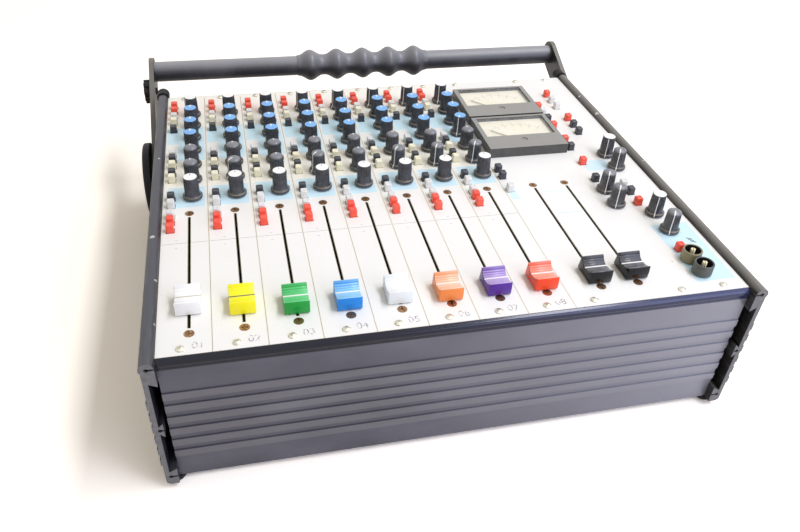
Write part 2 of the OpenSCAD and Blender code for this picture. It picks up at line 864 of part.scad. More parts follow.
// Needle at rest against its left stop, with its hub and staff
module meter_needle(front) {
    color("#202020") on_panel()
        translate([master_x + meter_x + meter_w / 2, front + pivot_in, 0]) {
            rotate([0, 0, needle_swing]) translate([-0.4, -4, needle_z])
                cube([0.8, needle_len, 0.4]);
            translate([0, 0, needle_z - 0.6]) cylinder(r = 2.2, h = 1.2);
            translate([0, 0, -staff_d]) cylinder(r = staff_r, h = staff_d + needle_z);
        }
}

// ---------- rear connectors ----------

module connector_places() {
    for (x = concat(input_x, plug_x)) translate([x, panel_d, mid_z]) children();
}

module flange_holes() {
    for (s = [-1, 1]) translate([s * flange_hole[0], 0, -s * flange_hole[1]]) children();
}

// Rounded flange and round body, drawn from the rear panel's outer face
module connector_shell() {
    r = 2.5;
    rotate([90, 0, 0]) translate([0, 0, -flange[2]]) linear_extrude(flange[2]) difference() {
        union() {
            square([flange[0] - 2 * r, flange[1]], center = true);
            square([flange[0], flange[1] - 2 * r], center = true);
            for (x = [-1, 1]) for (z = [-1, 1])
                translate([x * (flange[0] / 2 - r), z * (flange[1] / 2 - r)]) circle(r);
        }
        for (s = [-1, 1]) translate([s * flange_hole[0], -s * flange_hole[1]])
            circle(m3_clear);
    }
    rotate([90, 0, 0]) cylinder(r = barrel_r, h = barrel_l);
}

module input_sockets() {
    insert_r = 6.6;
    color("#34353a") on_panel() for (x = input_x) translate([x, panel_d, mid_z])
        difference() {
            connector_shell();
            rotate([-90, 0, 0]) translate([0, 0, -12]) difference() {
                cylinder(r = bore_r, h = 20);
                translate([0, 0, -over]) cylinder(r = insert_r, h = 20);
            }
            for (a = [30, 150, 270]) rotate([0, a, 0])
                translate([pin_ring, flange[2] + over, 0]) rotate([90, 0, 0])
                    cylinder(r = pin_r + 0.2, h = 12);
        }
}

module output_plugs() {
    depth = 14;
    pin_l = 11;
    color("#34353a") on_panel() for (k = [0 : 2])
        translate([plug_x[k], panel_d, mid_z]) {
            difference() {
                connector_shell();
                translate([0, flange[2] - depth, 0]) rotate([-90, 0, 0])
                    cylinder(r = bore_r, h = depth + over);
            }
            for (a = k < 2 ? [30, 150, 270] : [45, 135, 225, 315]) rotate([0, a, 0])
                translate([pin_ring, flange[2] - depth - over, 0]) rotate([-90, 0, 0])
                    cylinder(r = pin_r, h = pin_l + over);
        }
}

// ---------- screws ----------

// Countersunk screw, head up, with a cross recess
module sunk_screw(length) {
    difference() {
        union() {
            translate([0, 0, -head_h]) cylinder(r1 = m3_core, r2 = head_r, h = head_h);
            translate([0, 0, -length]) cylinder(r = m3_core, h = length - head_h + 0.1);
        }
        for (a = [0, 90]) rotate([0, 0, a]) translate([-1.7, -0.3, -0.7]) cube([3.4, 0.6, 1]);
    }
}

// Round-headed screw with a slot
module dome_screw(length) {
    dome = 4;
    difference() {
        union() {
            intersection() {
                translate([0, 0, 1.5 - dome]) sphere(dome);
                cylinder(r = dome_r, h = 3);
            }
            translate([0, 0, -length]) cylinder(r = m3_core, h = length + 0.5);
        }
        rotate([0, 0, 35]) translate([-dome_r - over, -0.3, 0.7])
            cube([2 * (dome_r + over), 0.6, 2]);
    }
}

module fader_screws() {
    color("#a9714f") on_panel() fader_places() fader_screw_places()
        sunk_screw(panel_t + track_top);
}

module panel_screws() {
    color("#b9ab84") on_panel() {
        for (i = [1 : channels]) translate([strip_at(i), 0, 0])
            strip_screw_places() dome_screw(panel_t + groove_d - 0.5);
        translate([master_x, 0, 0]) master_screw_places()
            dome_screw(panel_t + groove_d - 0.5);
    }
}

// Corner screws through the rails, screws under the base and in the connector flanges
module case_screws() {
    color("#3a3a3c") on_panel() {
        both_sides() corner_places() translate([-rail_face, 0, 0]) rotate([0, -90, 0])
            sunk_screw(rail_face + 9);
        base_screw_places() mirror([0, 0, 1]) sunk_screw(base_t + groove_d - 0.5);
        connector_places() flange_holes() translate([0, flange[2], 0]) rotate([-90, 0, 0])
            dome_screw(flange[2] + wall_t);
    }
}

// ---------- handle ----------

// Handle frame: origin on the pivot's axis at the panel's side edge, X along the arm
module at_pivot() {
    on_panel() translate([0, pivot_y, mid_z]) rotate([handle_angle, 0, 0]) children();
}

// Outline of an arm as [distance from the pivot, width]
module arm_outline() {
    circle(arm_w / 2 + 3);
    translate([0, -arm_w / 2]) square([arm_len, arm_w]);
    translate([arm_len, 0]) circle(arm_w / 2);
}

// Left arm: flat bar with a friction boss at the pivot and a spigot in the tube. A
// clamped arm has a hole for the hand screw.
module handle_arm(clamped) {
    x_in = -arm_in;
    difference() {
        union() {
            translate([x_in - arm_t, 0, 0]) along_x(arm_t) arm_outline();
            translate([x_in - over, 0, 0]) rod_x(boss_r, arm_gap - slide_fit + over);
            translate([x_in - over, arm_len, 0])
                rod_x(tube_r - tube_wall - run_fit, spigot_len + over);
        }
        translate([x_in - arm_t - over, 0, 0]) rod_x(axle_r + run_fit, 20);
        if (clamped) translate([x_in - arm_t - over, arm_len - clamp_from_tube, 0])
            rod_x(clamp_stud_r + run_fit, 20);
    }
}

module left_handle_arm() {
    color("#202124") at_pivot() handle_arm(true);
}

module right_handle_arm() {
    color("#202124") at_pivot() translate([panel_w, 0, 0]) mirror([1, 0, 0])
        handle_arm(false);
}

module handle_tube() {
    length = panel_w + 2 * arm_in;
    color("#2a2b2f") at_pivot() translate([-arm_in, arm_len, 0]) difference() {
        rod_x(tube_r, length);
        translate([-over, 0, 0]) rod_x(tube_r - tube_wall, length + 2 * over);
    }
}

// Rubber sleeve whose radius swells and falls along its length
module handle_grip() {
    steps = 12;
    total = grip_bulges * grip_pitch;
    count = grip_bulges * steps;
    swell = [for (k = [0 : count]) pow((1 - cos(360 * k / steps)) / 2, 1.25)];
    wave = [for (k = [0 : count])
        [grip_valley + (grip_r - grip_valley) * swell[k], k * grip_pitch / steps]];
    color("#1d1e21") at_pivot() translate([panel_w / 2 - total / 2, arm_len, 0])
        rotate([0, 90, 0]) rotate_extrude()
            polygon(concat(wave, [[tube_r + run_fit, total], [tube_r + run_fit, 0]]));
}

// Disc over the outer face of an arm, with the axle that turns in the rail
module pivot_disc() {
    x_out = -arm_in - arm_t;
    edge = 2;
    clip_gap = slide_fit;
    dish = 1.5;
    color("#18191b") {
        difference() {
            translate([x_out, 0, 0]) rotate([0, -90, 0]) rotate_extrude() {
                square([disc_r, disc_t - edge]);
                square([disc_r - edge, disc_t]);
                translate([disc_r - edge, disc_t - edge]) circle(edge);
            }
            translate([x_out - disc_t - over, 0, 0]) difference() {
                rod_x(disc_r - 5, dish + over);
                translate([-over, 0, 0]) rod_x(12, dish + 3 * over);
            }
            translate([x_out - disc_t - over, -5, -0.7]) cube([over + 1, 10, 1.4]);
        }
        translate([x_out - over, 0, 0]) rod_x(axle_r, arm_t + arm_in + over - 1);
        translate([-2 + clip_gap, 0, 0]) rod_x(axle_r + 2, 0.8);
    }
}

module pivot_discs() {
    at_pivot() both_sides() pivot_disc();
}

// Lobed hand screw through the left arm
module clamp_knob() {
    x_out = -arm_in - arm_t - slide_fit;
    height = disc_t - slide_fit;
    lobes = 8;
    color("#151517") at_pivot() translate([0, arm_len - clamp_from_tube, 0]) {
        translate([x_out - height, 0, 0]) rotate([0, 90, 0]) linear_extrude(height) {
            circle(clamp_r);
            for (a = [0 : lobes - 1]) rotate([0, 0, a * 360 / lobes])
                translate([clamp_r - 0.6, 0]) circle(2.6);
        }
        translate([x_out - over, 0, 0]) rod_x(clamp_stud_r, arm_t + slide_fit + over + 1.5);
    }
}

left_side_rail();
right_side_rail();
rail_end_caps();
front_panel();
rear_panel();
base_plate();
rubber_feet();
channel_plates();
master_plate();
meter_cases();
meter_windows();
meter_dials();
fader_tracks();
circuit_boards();
potentiometers();
push_switches();
input_sockets();
output_plugs();
fader_screws();
panel_screws();
case_screws();
channel_knobs();
handle_tube();
handle_grip();
left_handle_arm();
right_handle_arm();
pivot_discs();
clamp_knob();
for (i = [1 : channels])
    fader(strip_at(i) + slot_x, fader_rest[i - 1], cap_tints[i - 1]);
fader(master_x + master_slots[0], master_rest[0], "#202124");  // master_fader_left
fader(master_x + master_slots[1], master_rest[1], "#202124");  // master_fader_right
meter_needle(meter_fronts[0]);  // rear_meter_needle
meter_needle(meter_fronts[1]);  // front_meter_needle
for (i = [1 : len(master_knobs)])
    turning_knob([master_x, 0, 0] + concat(master_knobs[i - 1], 0), i != 1 && i != 5);
for (i = [1 : channels])
    turning_knob([strip_at(i) + knob_x, level_row, 0], false);
collar_knob([master_x, 0, 0] + concat(collars[0], 0));  // rear_collar_knob
collar_knob([master_x, 0, 0] + concat(collars[1], 0));  // front_collar_knob
red_buttons();
pale_buttons();
black_buttons();
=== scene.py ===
# %% [markdown]
# # A portable mixing console
# The working part of this console, with its faders, knobs, meters, case and carry
# handle, is loaded as a fixed frame. This notebook gives that frame its finishes, and
# replaces the knobs, buttons and fader caps with finer moulded shapes. Every new shape
# is a surface worked out with numpy and written straight into a mesh.

# %% Load the frame
import math

import bmesh
import bpy
import numpy as np
from mathutils import Matrix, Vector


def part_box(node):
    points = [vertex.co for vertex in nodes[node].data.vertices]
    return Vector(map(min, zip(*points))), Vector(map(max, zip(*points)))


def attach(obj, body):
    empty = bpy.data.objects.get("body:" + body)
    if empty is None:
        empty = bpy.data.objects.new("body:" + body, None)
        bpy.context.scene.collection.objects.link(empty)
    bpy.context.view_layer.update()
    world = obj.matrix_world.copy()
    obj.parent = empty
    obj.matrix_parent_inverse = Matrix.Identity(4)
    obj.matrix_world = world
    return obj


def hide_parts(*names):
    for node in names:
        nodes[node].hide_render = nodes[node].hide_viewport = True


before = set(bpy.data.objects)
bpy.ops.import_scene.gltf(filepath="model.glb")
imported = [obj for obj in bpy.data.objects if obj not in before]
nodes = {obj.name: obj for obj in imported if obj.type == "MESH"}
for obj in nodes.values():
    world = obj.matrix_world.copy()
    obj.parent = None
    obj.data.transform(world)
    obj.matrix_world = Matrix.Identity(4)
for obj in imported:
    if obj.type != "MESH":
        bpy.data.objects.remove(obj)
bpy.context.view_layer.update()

# %% [markdown]
# Sizes on a control panel are easiest to read in millimetres from the panel's front left
# corner. The frame is in metres with its origin under the middle of the console, so one
# function turns a place on the panel into a point of the frame.

# %% Places on the panel
MM = 0.001
PLATE_GAP = 0.2
CHANNELS = 8
plates_lo, plates_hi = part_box("channel_plates")
master_lo, master_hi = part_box("master_plate")
LEFT = plates_lo.x - PLATE_GAP / 2 * MM
FRONT = plates_lo.y
TOP = plates_hi.z
STRIP = (master_lo.x - PLATE_GAP / 2 * MM - LEFT) / MM / CHANNELS
DEPTH = (plates_hi.y - FRONT) / MM
WIDTH = (master_hi.x - LEFT) / MM
MASTER = CHANNELS * STRIP


def on_panel(x, y, z=0.0):
    """Panel millimetres to frame metres: x from the left edge, y from the front edge,
    z up from the panel's surface."""
    return np.array([LEFT + x * MM, FRONT + y * MM, TOP + z * MM])


def off_panel(point):
    """Frame metres back to panel millimetres."""
    return (np.asarray(point, float) - [LEFT, FRONT, TOP]) / MM


print(f"panel {WIDTH:.1f} x {DEPTH:.1f} mm, strips {STRIP:.1f} mm wide")

# %% [markdown]
# The camera looks down on the console from its front left. Three angles give its
# direction: how far it is turned to the right, how far it looks down, and a small roll.
# Turning the right and up directions about the view direction by the roll angle keeps
# the three axes square to each other. One function sets a camera from its axes, and the
# lamps as well.

# %% The camera
def in_scene(name, data):
    """A new object in the scene's collection."""
    thing = bpy.data.objects.new(name, data)
    bpy.context.scene.collection.objects.link(thing)
    return thing


def set_up(name, data, right, up, back, at):
    """A camera or lamp in the scene, from its three axes and its place. It looks along
    the opposite of back."""
    thing = in_scene(name, data)
    matrix = np.eye(4)
    matrix[:3] = np.column_stack([right, up, back, at])
    thing.matrix_world = Matrix(matrix)
    return thing


TURN, DOWN, ROLL = (math.radians(angle) for angle in (14.6415, 38.1804, 3.3152))
CAMERA_AT = on_panel(54.62, -290.88, 281.8)
ahead = np.array([
    math.sin(TURN) * math.cos(DOWN), math.cos(TURN) * math.cos(DOWN), -math.sin(DOWN)
])
level_right = np.array([math.cos(TURN), -math.sin(TURN), 0.0])
level_up = np.cross(level_right, ahead)
right = level_right * math.cos(ROLL) + level_up * math.sin(ROLL)
lens = bpy.data.cameras.new("camera")
lens.sensor_width = 36.0
lens.lens = 32.87
lens.clip_end = 20.0
bpy.context.scene.camera = set_up("camera", lens, right, np.cross(right, ahead), -ahead,
                                  CAMERA_AT)
print("camera looks along", ahead.round(3))

# %% [markdown]
# ## Shapes
# Almost everything on the panel is a closed tube: a stack of rings with the same number
# of points, joined by quads and closed at both ends by a fan of triangles. A knob is one,
# with rings round its axis, and so is a fader cap, whose rings are its side view repeated
# across its width. A part is kept as plain arrays until it is finished, so that copies
# and joins are array work too.

# %% Closed tubes
def closed_tube(rings, slots=0, ends=(0, 0), hubs=None):
    """A part from rings of shape (rows, points, 3). Quad (i, j) joins points j and j+1
    of rings i and i+1, and each end is a fan about the middle of its ring, or about its
    hub. slots gives the material of each quad, as one number, per row or per row and
    point."""
    rings = np.asarray(rings, float)
    rows, n = rings.shape[:2]
    middle = rings[[0, -1]].mean(axis=1) if hubs is None else np.asarray(hubs, float)
    points = np.concatenate([rings.reshape(-1, 3), middle])
    i, j = np.meshgrid(np.arange(rows - 1), np.arange(n), indexing="ij")
    k = (j + 1) % n
    quads = np.stack([i * n + j, i * n + k, (i + 1) * n + k, (i + 1) * n + j], -1)
    j, k = np.arange(n), (np.arange(n) + 1) % n
    low = np.stack([k, j, np.full(n, rows * n)], -1)
    high = np.stack([(rows - 1) * n + j, (rows - 1) * n + k, np.full(n, rows * n + 1)], -1)
    slots = np.asarray(slots)
    if slots.ndim == 1:
        slots = slots[:, None]
    return {
        "points": points,
        "quads": quads.reshape(-1, 4),
        "tris": np.concatenate([low, high]),
        "quad_slots": np.broadcast_to(slots, (rows - 1, n)).reshape(-1),
        "tri_slots": np.repeat(ends, n),
    }


def join(parts):
    """One part from several: the point numbers of each are raised by the points before."""
    counts = np.cumsum([0] + [len(p["points"]) for p in parts])
    out = {key: np.concatenate([p[key] for p in parts])
           for key in ("points", "quad_slots", "tri_slots")}
    for key in ("quads", "tris"):
        out[key] = np.concatenate([p[key] + c for p, c in zip(parts, counts)])
    return out


def copies(part, places, turns=None):
    """The part at each place, turned clockwise about +Z by each angle in radians:
    x' = x cos a + y sin a and y' = y cos a - x sin a."""
    places = np.atleast_2d(places)
    turns = np.zeros(len(places)) if turns is None else np.asarray(turns, float)
    x, y, z = part["points"].T
    return join([
        {**part, "points": np.stack([x * c + y * s, y * c - x * s, z], -1) + place}
        for place, c, s in zip(places, np.cos(turns), np.sin(turns))
    ])


# %% [markdown]
# A finished part becomes a mesh in one go. Blender keeps a mesh as a list of corners and,
# for each face, the first corner and how many there are, so both kinds of face are
# written with foreach_set and no loop.

# %% From arrays to a piece
def piece(name, body, part, materials, replaces=(), sharp=40):
    """A mesh object from a part, with the given materials. It rides on a body and may
    replace CAD nodes, which are hidden. Edges sharper than the given angle stay crisp."""
    mesh = bpy.data.meshes.new(name)
    quads, tris = part["quads"], part["tris"]
    corners = np.concatenate([quads.ravel(), tris.ravel()]).astype(np.int32)
    starts = np.concatenate([
        np.arange(len(quads)) * 4, len(quads) * 4 + np.arange(len(tris)) * 3
    ]).astype(np.int32)
    mesh.vertices.add(len(part["points"]))
    mesh.vertices.foreach_set("co", part["points"].astype(np.float32).ravel())
    mesh.loops.add(len(corners))
    mesh.loops.foreach_set("vertex_index", corners)
    mesh.polygons.add(len(starts))
    mesh.polygons.foreach_set("loop_start", starts)
    for material in materials:
        mesh.materials.append(material)
    slots = np.concatenate([part["quad_slots"], part["tri_slots"]]).astype(np.int32)
    mesh.polygons.foreach_set("material_index", slots)
    mesh.update(calc_edges=True)
    mesh.validate()
    mesh.shade_smooth()
    mesh.set_sharp_from_angle(angle=math.radians(sharp))
    thing = in_scene(name, mesh)
    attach(thing, body)
    if replaces:
        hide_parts(*replaces)
    print(f"{name}: {2 * len(quads) + len(tris)} triangles")
    return thing


# %% [markdown]
# Where a control stands comes from the frame itself. A node with many equal controls is
# split by the empty gaps between them, first across the panel and then along it. Each
# triangle of the node covers a span, and a gap is where every span so far has ended and
# the next one hasn't begun.

# %% Finding the controls
def groups(low, high, gap=1.0 * MM):
    """Splits spans low..high into groups with a gap between them. The spans are sorted
    by where they begin, and a cut comes where one begins past the furthest end so far."""
    order = np.argsort(low)
    furthest = np.maximum.accumulate(high[order])
    cuts = np.nonzero(low[order][1:] > furthest[:-1] + gap)[0] + 1
    return np.split(order, cuts)


def triangles(node):
    """All triangles of a CAD node as an array of shape (count, 3 corners, 3)."""
    mesh = nodes[node].data
    points = np.empty(len(mesh.vertices) * 3, np.float32)
    mesh.vertices.foreach_get("co", points)
    mesh.calc_loop_triangles()
    corners = np.empty(len(mesh.loop_triangles) * 3, np.int32)
    mesh.loop_triangles.foreach_get("vertices", corners)
    return points.reshape(-1, 3).astype(float)[corners.reshape(-1, 3)]


def controls(node):
    """The middle of each separate control of a node on the panel's surface, from left
    to right and from rear to front."""
    faces = triangles(node)
    low, high = faces.min(axis=1), faces.max(axis=1)
    found = []
    for column in groups(low[:, 0], high[:, 0]):
        for row in groups(low[column, 1], high[column, 1])[::-1]:
            block = column[row]
            middle = (low[block].min(axis=0) + high[block].max(axis=0)) / 2
            found.append([middle[0], middle[1], TOP])
    return np.array(found)


knob_spots = controls("channel_knobs").reshape(CHANNELS, -1, 3)
print("knobs on each strip:", knob_spots.shape[1])

# %% [markdown]
# ## Finishes
# Each material is built from nodes on the Principled shader. Colours are written as the
# hex values that a screen shows, and one function turns them into the linear values that
# the renderer adds and multiplies. One small function adds a node, sets it up and links
# it. All patterns are read from Object coordinates, which are the frame's own metres, so
# the size of a pattern in millimetres becomes a scale of 1 / size.

# %% Colours and nodes
def srgb(text):
    """#rrggbb to linear RGBA: c/12.92 below 0.04045, else ((c + 0.055) / 1.055)^2.4."""
    c = np.array([int(text[i:i + 2], 16) for i in (1, 3, 5)]) / 255
    linear = np.where(c <= 0.04045, c / 12.92, ((c + 0.055) / 1.055) ** 2.4)
    return (*linear, 1.0)


def add(tree, kind, *values, **named):
    """Adds a shader node. The values go to its inputs in their order. A name with a
    capital is an input too, with _ for a space, and any other name is a setting. A value
    is a number, a hex colour, or a node or socket to link. Every Mix mixes colours."""
    node = tree.nodes.new("ShaderNode" + kind)
    if kind == "Mix":
        node.data_type = "RGBA"
    for key in [key for key in named if key[0].islower()]:
        setattr(node, key, named.pop(key))
    live = [socket for socket in node.inputs if socket.enabled]
    by_name = {socket.name.replace(" ", "_"): socket for socket in live}
    wanted = [*zip(live, values), *((by_name[key], named[key]) for key in named)]
    for socket, value in wanted:
        if isinstance(value, bpy.types.Node):
            value = [output for output in value.outputs if output.enabled][0]
        if isinstance(value, bpy.types.NodeSocket):
            tree.links.new(value, socket)
        else:
            socket.default_value = srgb(value) if isinstance(value, str) else value
    return node


def empty_tree(owner):
    """The shader nodes of a material or a world, with none there yet."""
    owner.use_nodes = True
    owner.node_tree.nodes.clear()
    return owner.node_tree


def finish(name, surface, *look):
    """A material whose Principled shader gets the inputs that surface(tree, place, *look)
    gives, where place is the point in Object coordinates."""
    material = bpy.data.materials.new(name)
    tree = empty_tree(material)
    place = add(tree, "TexCoord").outputs["Object"]
    shader = add(tree, "BsdfPrincipled", **surface(tree, place, *look))
    add(tree, "OutputMaterial", Surface=shader)
    return material


def per_mm(size):
    """The scale of a noise texture whose blobs are this many millimetres across."""
    return 1 / (size * MM)


def blotches(tree, place, size, low, high, most=1.0, detail=2.0):
    """0 where noise with blobs of a size is below low, rising to most where it reaches
    high."""
    noise = add(tree, "TexNoise", place, per_mm(size), detail)
    return add(tree, "MapRange", noise, From_Min=low, From_Max=high, To_Max=most)


def bumps(tree, place, size, height, strength, detail=2.0):
    """The normal over noise bumps of a size and a height in millimetres."""
    noise = add(tree, "TexNoise", place, per_mm(size), detail)
    return add(tree, "Bump", Height=noise, Distance=height * MM, Strength=strength)


print("white is", srgb("#ffffff"), "and a 0.5 mm grain has a scale of", per_mm(0.5))

# %% [markdown]
# The rails and the handle are aluminium sprayed with a satin black paint. Years of carrying
# have rubbed it: it is greyer in patches, with fine scratches along the rails, and a few
# chips on the rails' beads show bare metal. The ends of the rails have lost most of their
# paint, and the aluminium there has gone dull and grey. The paint is also paler on top,
# partly from dust and partly as a painted highlight where the light from above falls. The
# left rail takes the darkest tones, as painted shade, the right rail and the handle's arms
# lighter ones, as painted light, and the tube lighter tones still, also painted light.
# Wherever a finish is paler on top, the share comes from how far the surface faces up.

# %% Where the paint is gone
CHIPS = [  # x, y, z on the panel and radius
    (-4.5, 106, 3.2, 1.5), (-1, 63, 2.4, 1.1), (-0.6, 25, 1.6, 0.9), (-3.6, 205, 3.6, 0.8),
    (358.6, 232, 3.4, 1.7), (357.8, 267, 2.8, 1.0), (360, 150, 3.6, 0.7),
]
RAGGED = 0.9  # how far a chip's outline wanders
RAIL_END = -7.7  # y of the line behind which the rails keep their paint


def chips(tree, place):
    """1 within each chip's radius, with an outline made ragged by 1.2 mm noise."""
    ragged = add(tree, "TexNoise", place, per_mm(1.2), 3.0)
    total = 0.0
    for x, y, z, radius in CHIPS:
        away = add(tree, "VectorMath", place, on_panel(x, y, z), operation="DISTANCE")
        edge = add(tree, "Math", ragged, RAGGED * MM, away, operation="MULTIPLY_ADD")
        chip = add(tree, "Math", edge, (radius + RAGGED / 2) * MM, operation="LESS_THAN")
        total = add(tree, "Math", total, chip, operation="MAXIMUM")
    return total


def in_front_of(tree, place, line):
    """1 in front of a line across the console, given in millimetres along the panel."""
    y = add(tree, "SeparateXYZ", place).outputs["Y"]
    return add(tree, "Math", y, FRONT + line * MM, operation="LESS_THAN")


def facing_up(tree, low, high, most=1.0):
    """0 where the surface's normal has a Z below low, rising to most where it reaches
    high."""
    normal = add(tree, "NewGeometry").outputs["Normal"]
    z = add(tree, "SeparateXYZ", normal).outputs["Z"]
    return add(tree, "MapRange", z, From_Min=low, From_Max=high, To_Max=most)


# %% Satin black paint, worn
def satin_paint(tree, place, tone, rubbed, top):
    """Near black, greyer in 26 mm patches, paler on top from dust and a painted highlight,
    with scratches 1 mm apart along the rails."""
    worn = blotches(tree, place, 26, 0.42, 0.72, detail=4.0)
    drawn = add(tree, "Mapping", place, Scale=(1.0, 0.06, 1.0))
    scratched = blotches(tree, drawn, 1.0, 0.56, 0.7, 0.5, detail=3.0)
    paint = add(tree, "Mix", worn, tone, rubbed)
    paint = add(tree, "Mix", scratched, paint, "#5c5d62")
    # Dust and a painted highlight: the paint is paler where the surface faces up.
    paint = add(tree, "Mix", facing_up(tree, 0.35, 1.0, 0.7), paint, top)
    end = in_front_of(tree, place, RAIL_END)
    dull = add(tree, "TexNoise", place, per_mm(3.0), 4.0)
    paint = add(tree, "Mix", end, paint, add(tree, "Mix", dull, "#57585c", "#85868a"))
    bare = chips(tree, place)
    return dict(
        Base_Color=add(tree, "Mix", bare, paint, "#c4c3bf"),
        Metallic=add(tree, "Math", end, 0.5, bare, operation="MULTIPLY_ADD", use_clamp=True),
        Roughness=add(tree, "MapRange", worn, To_Min=0.34, To_Max=0.46),
        Normal=bumps(tree, place, 0.8, 0.02, 0.6),
    )


# Three copies of one paint, each with tones for the paint, its rubbed patches and its top.
# The left rail's tones are dark, as painted shade. The right rail and the arms take lighter
# tones, as painted light, and the tube's are lighter still. Each top tone is dust and a
# painted highlight.
shaded_rail = finish("satin_black_paint", satin_paint, "#1a1a20", "#28282f", "#54545b")
lit_rail_paint = finish("satin_black_paint_worn", satin_paint, "#1e1d1b", "#383632", "#86827a")
painted_tube = finish("satin_black_paint_rubbed", satin_paint, "#3e3e43", "#55555a",
                      "#aaaaad")

# %% [markdown]
# The front and rear panels are extrusions in dark anodised aluminium. Anodising keeps the
# metal's sheen under a dyed layer, and the extrusion's die leaves very fine lines along it,
# which spread the highlights upwards and downwards. The ribs stand proud and are a lighter
# tone than the face between them, and the rounded top edge has kept its black and its shine.
# Faces that turn down, such as the ribs' undersides and the base, are painted pale as light
# bounced up from the floor. A painted highlight grows towards the right, where the light
# falls, on the face and on the top edge.

# %% Anodised aluminium
RIB_HALF = 0.4  # half of how far the ribs stand proud
RIBS = (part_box("front_panel")[0].y - FRONT) / MM + RIB_HALF
EDGE_LOW, EDGE_HIGH = -8 * MM, -7 * MM  # where the rounded top edge begins
# The span along X over which the painted highlight grows.
PAINTED_LIGHT_FROM, PAINTED_LIGHT_TO = -60 * MM, 180 * MM


def anodised(tree, place, tone, rib_tone, edge_tone, lit_and_wiped_tone, painted_highlight_tone):
    """Half metallic, with noise stretched 250 times along X as die lines 0.6 mm apart,
    cloudy marks 30 mm high from wiping, and a painted highlight that grows towards +X."""
    at = add(tree, "SeparateXYZ", place)
    drawn = add(tree, "Mapping", place, Scale=(0.004, 1.0, 1.0))
    wiped = add(tree, "Mapping", place, Scale=(0.6, 1.0, 1.0))
    colour = add(tree, "Mix", in_front_of(tree, place, RIBS), tone, rib_tone)
    # Painted highlight: the tone grows paler towards +X, where the light falls. The wiping
    # marks take the same pale tone.
    painted_light_share = add(tree, "MapRange", at.outputs["X"], From_Min=PAINTED_LIGHT_FROM, From_Max=PAINTED_LIGHT_TO,
               To_Max=0.7)
    colour = add(tree, "Mix", painted_light_share, colour, lit_and_wiped_tone)
    cloud = blotches(tree, wiped, 30, 0.4, 0.75, 0.16, detail=5.0)
    colour = add(tree, "Mix", cloud, colour, lit_and_wiped_tone)
    # Painted light: faces that turn down, such as the ribs' undersides and the base, are
    # pale, as if lit by light bounced up from the floor.
    colour = add(tree, "Mix", facing_up(tree, -0.3, -0.9), colour, "#b4b4bc")
    edge = add(tree, "MapRange", at.outputs["Z"], From_Min=TOP + EDGE_LOW,
               From_Max=TOP + EDGE_HIGH)
    # Painted highlight on the dark top edge, growing towards +X.
    dark = add(tree, "Mix", painted_light_share, edge_tone, painted_highlight_tone)
    return dict(
        Base_Color=add(tree, "Mix", edge, colour, dark),
        Metallic=add(tree, "Math", edge, -0.35, 0.5, operation="MULTIPLY_ADD"),
        Roughness=add(tree, "MapRange", edge, To_Min=0.36, To_Max=0.15),
        Normal=bumps(tree, drawn, 0.6, 0.01, 0.5, detail=3.0),
    )


# Tones: face, ribs, top edge, painted highlight, and painted highlight on the top edge.
front_metal = finish("dark_anodised_aluminium", anodised, "#5a5a64", "#6c6c72", "#0c0e1e",
                     "#a3a4b0", "#3a4066")
rear_metal = finish("black_anodised_aluminium", anodised, "#2c2d31", "#3a3b40", "#18181b",
                    "#43444a", "#18181b")
print(f"ribs stand in front of {RIBS:.1f} mm")

# %% [markdown]
# The control panel is aluminium sheet with an off-white baked paint, on which the legends
# are screen printed: blue and cream fields behind the groups of controls and hair-thin lines
# between them. The fields are masks worked out from the place on the panel. One compare node
# says whether a coordinate is within half a width of a field's middle, so two of them make a
# rectangle. Only the top carries the print. The plates' outer edges are plain paint, and the
# walls of the slots and holes are painted dark, as the shade inside them.

# %% Printed fields
def panel_millimetres(tree, place, across, shift):
    """X and Y on the panel in millimetres. X starts again on every strip when across is
    a strip's width, and is measured from the shift otherwise."""
    away = add(tree, "VectorMath", place, on_panel(shift, 0, 0), operation="SUBTRACT")
    scaled = add(tree, "VectorMath", away, 1 / MM, operation="SCALE")
    parts = add(tree, "SeparateXYZ", scaled)
    x = parts.outputs["X"]
    if across:
        x = add(tree, "Math", x, across, operation="FLOORED_MODULO")
    return x, parts.outputs["Y"]


def rectangle(tree, x, y, x_span, y_span):
    """1 where x and y, in panel millimetres, lie inside both spans."""
    sides = [add(tree, "Math", value, (low + high) / 2, (high - low) / 2,
                 operation="COMPARE")
             for value, (low, high) in ((x, x_span), (y, y_span))]
    return add(tree, "Math", *sides, operation="MULTIPLY")


def printed(tree, place, fields, across, width, shift=0.0):
    """Baked off-white paint with fields of (colour, strength, x span, y span) and specks of
    dirt. A plate's outer edges are painted too, and the walls of its slots and holes are
    painted dark as shade."""
    x, y = panel_millimetres(tree, place, across, shift)
    aged = add(tree, "TexNoise", place, per_mm(40), 3.0)
    colour = add(tree, "Mix", aged, "#f5f4ef", "#eeede6")
    for tint, strength, x_span, y_span in fields:
        share = add(tree, "Math", rectangle(tree, x, y, x_span, y_span), strength,
                    operation="MULTIPLY")
        colour = add(tree, "Mix", share, colour, tint)
    specks = blotches(tree, place, 1.6, 0.74, 0.78, 0.5)
    colour = add(tree, "Mix", specks, colour, "#b9b2a0")
    inside = rectangle(tree, x, y, (0.6, width - 0.6), (0.6, DEPTH - 0.6))
    # Painted shade: the walls of slots and holes are dark, and the outer edges pale.
    edge = add(tree, "Mix", inside, "#d6cfbf", "#4a463c")
    return dict(
        Base_Color=add(tree, "Mix", facing_up(tree, 0.4, 0.6), edge, colour),
        Roughness=0.42,
        Normal=bumps(tree, place, 0.7, 0.015, 0.5),
    )


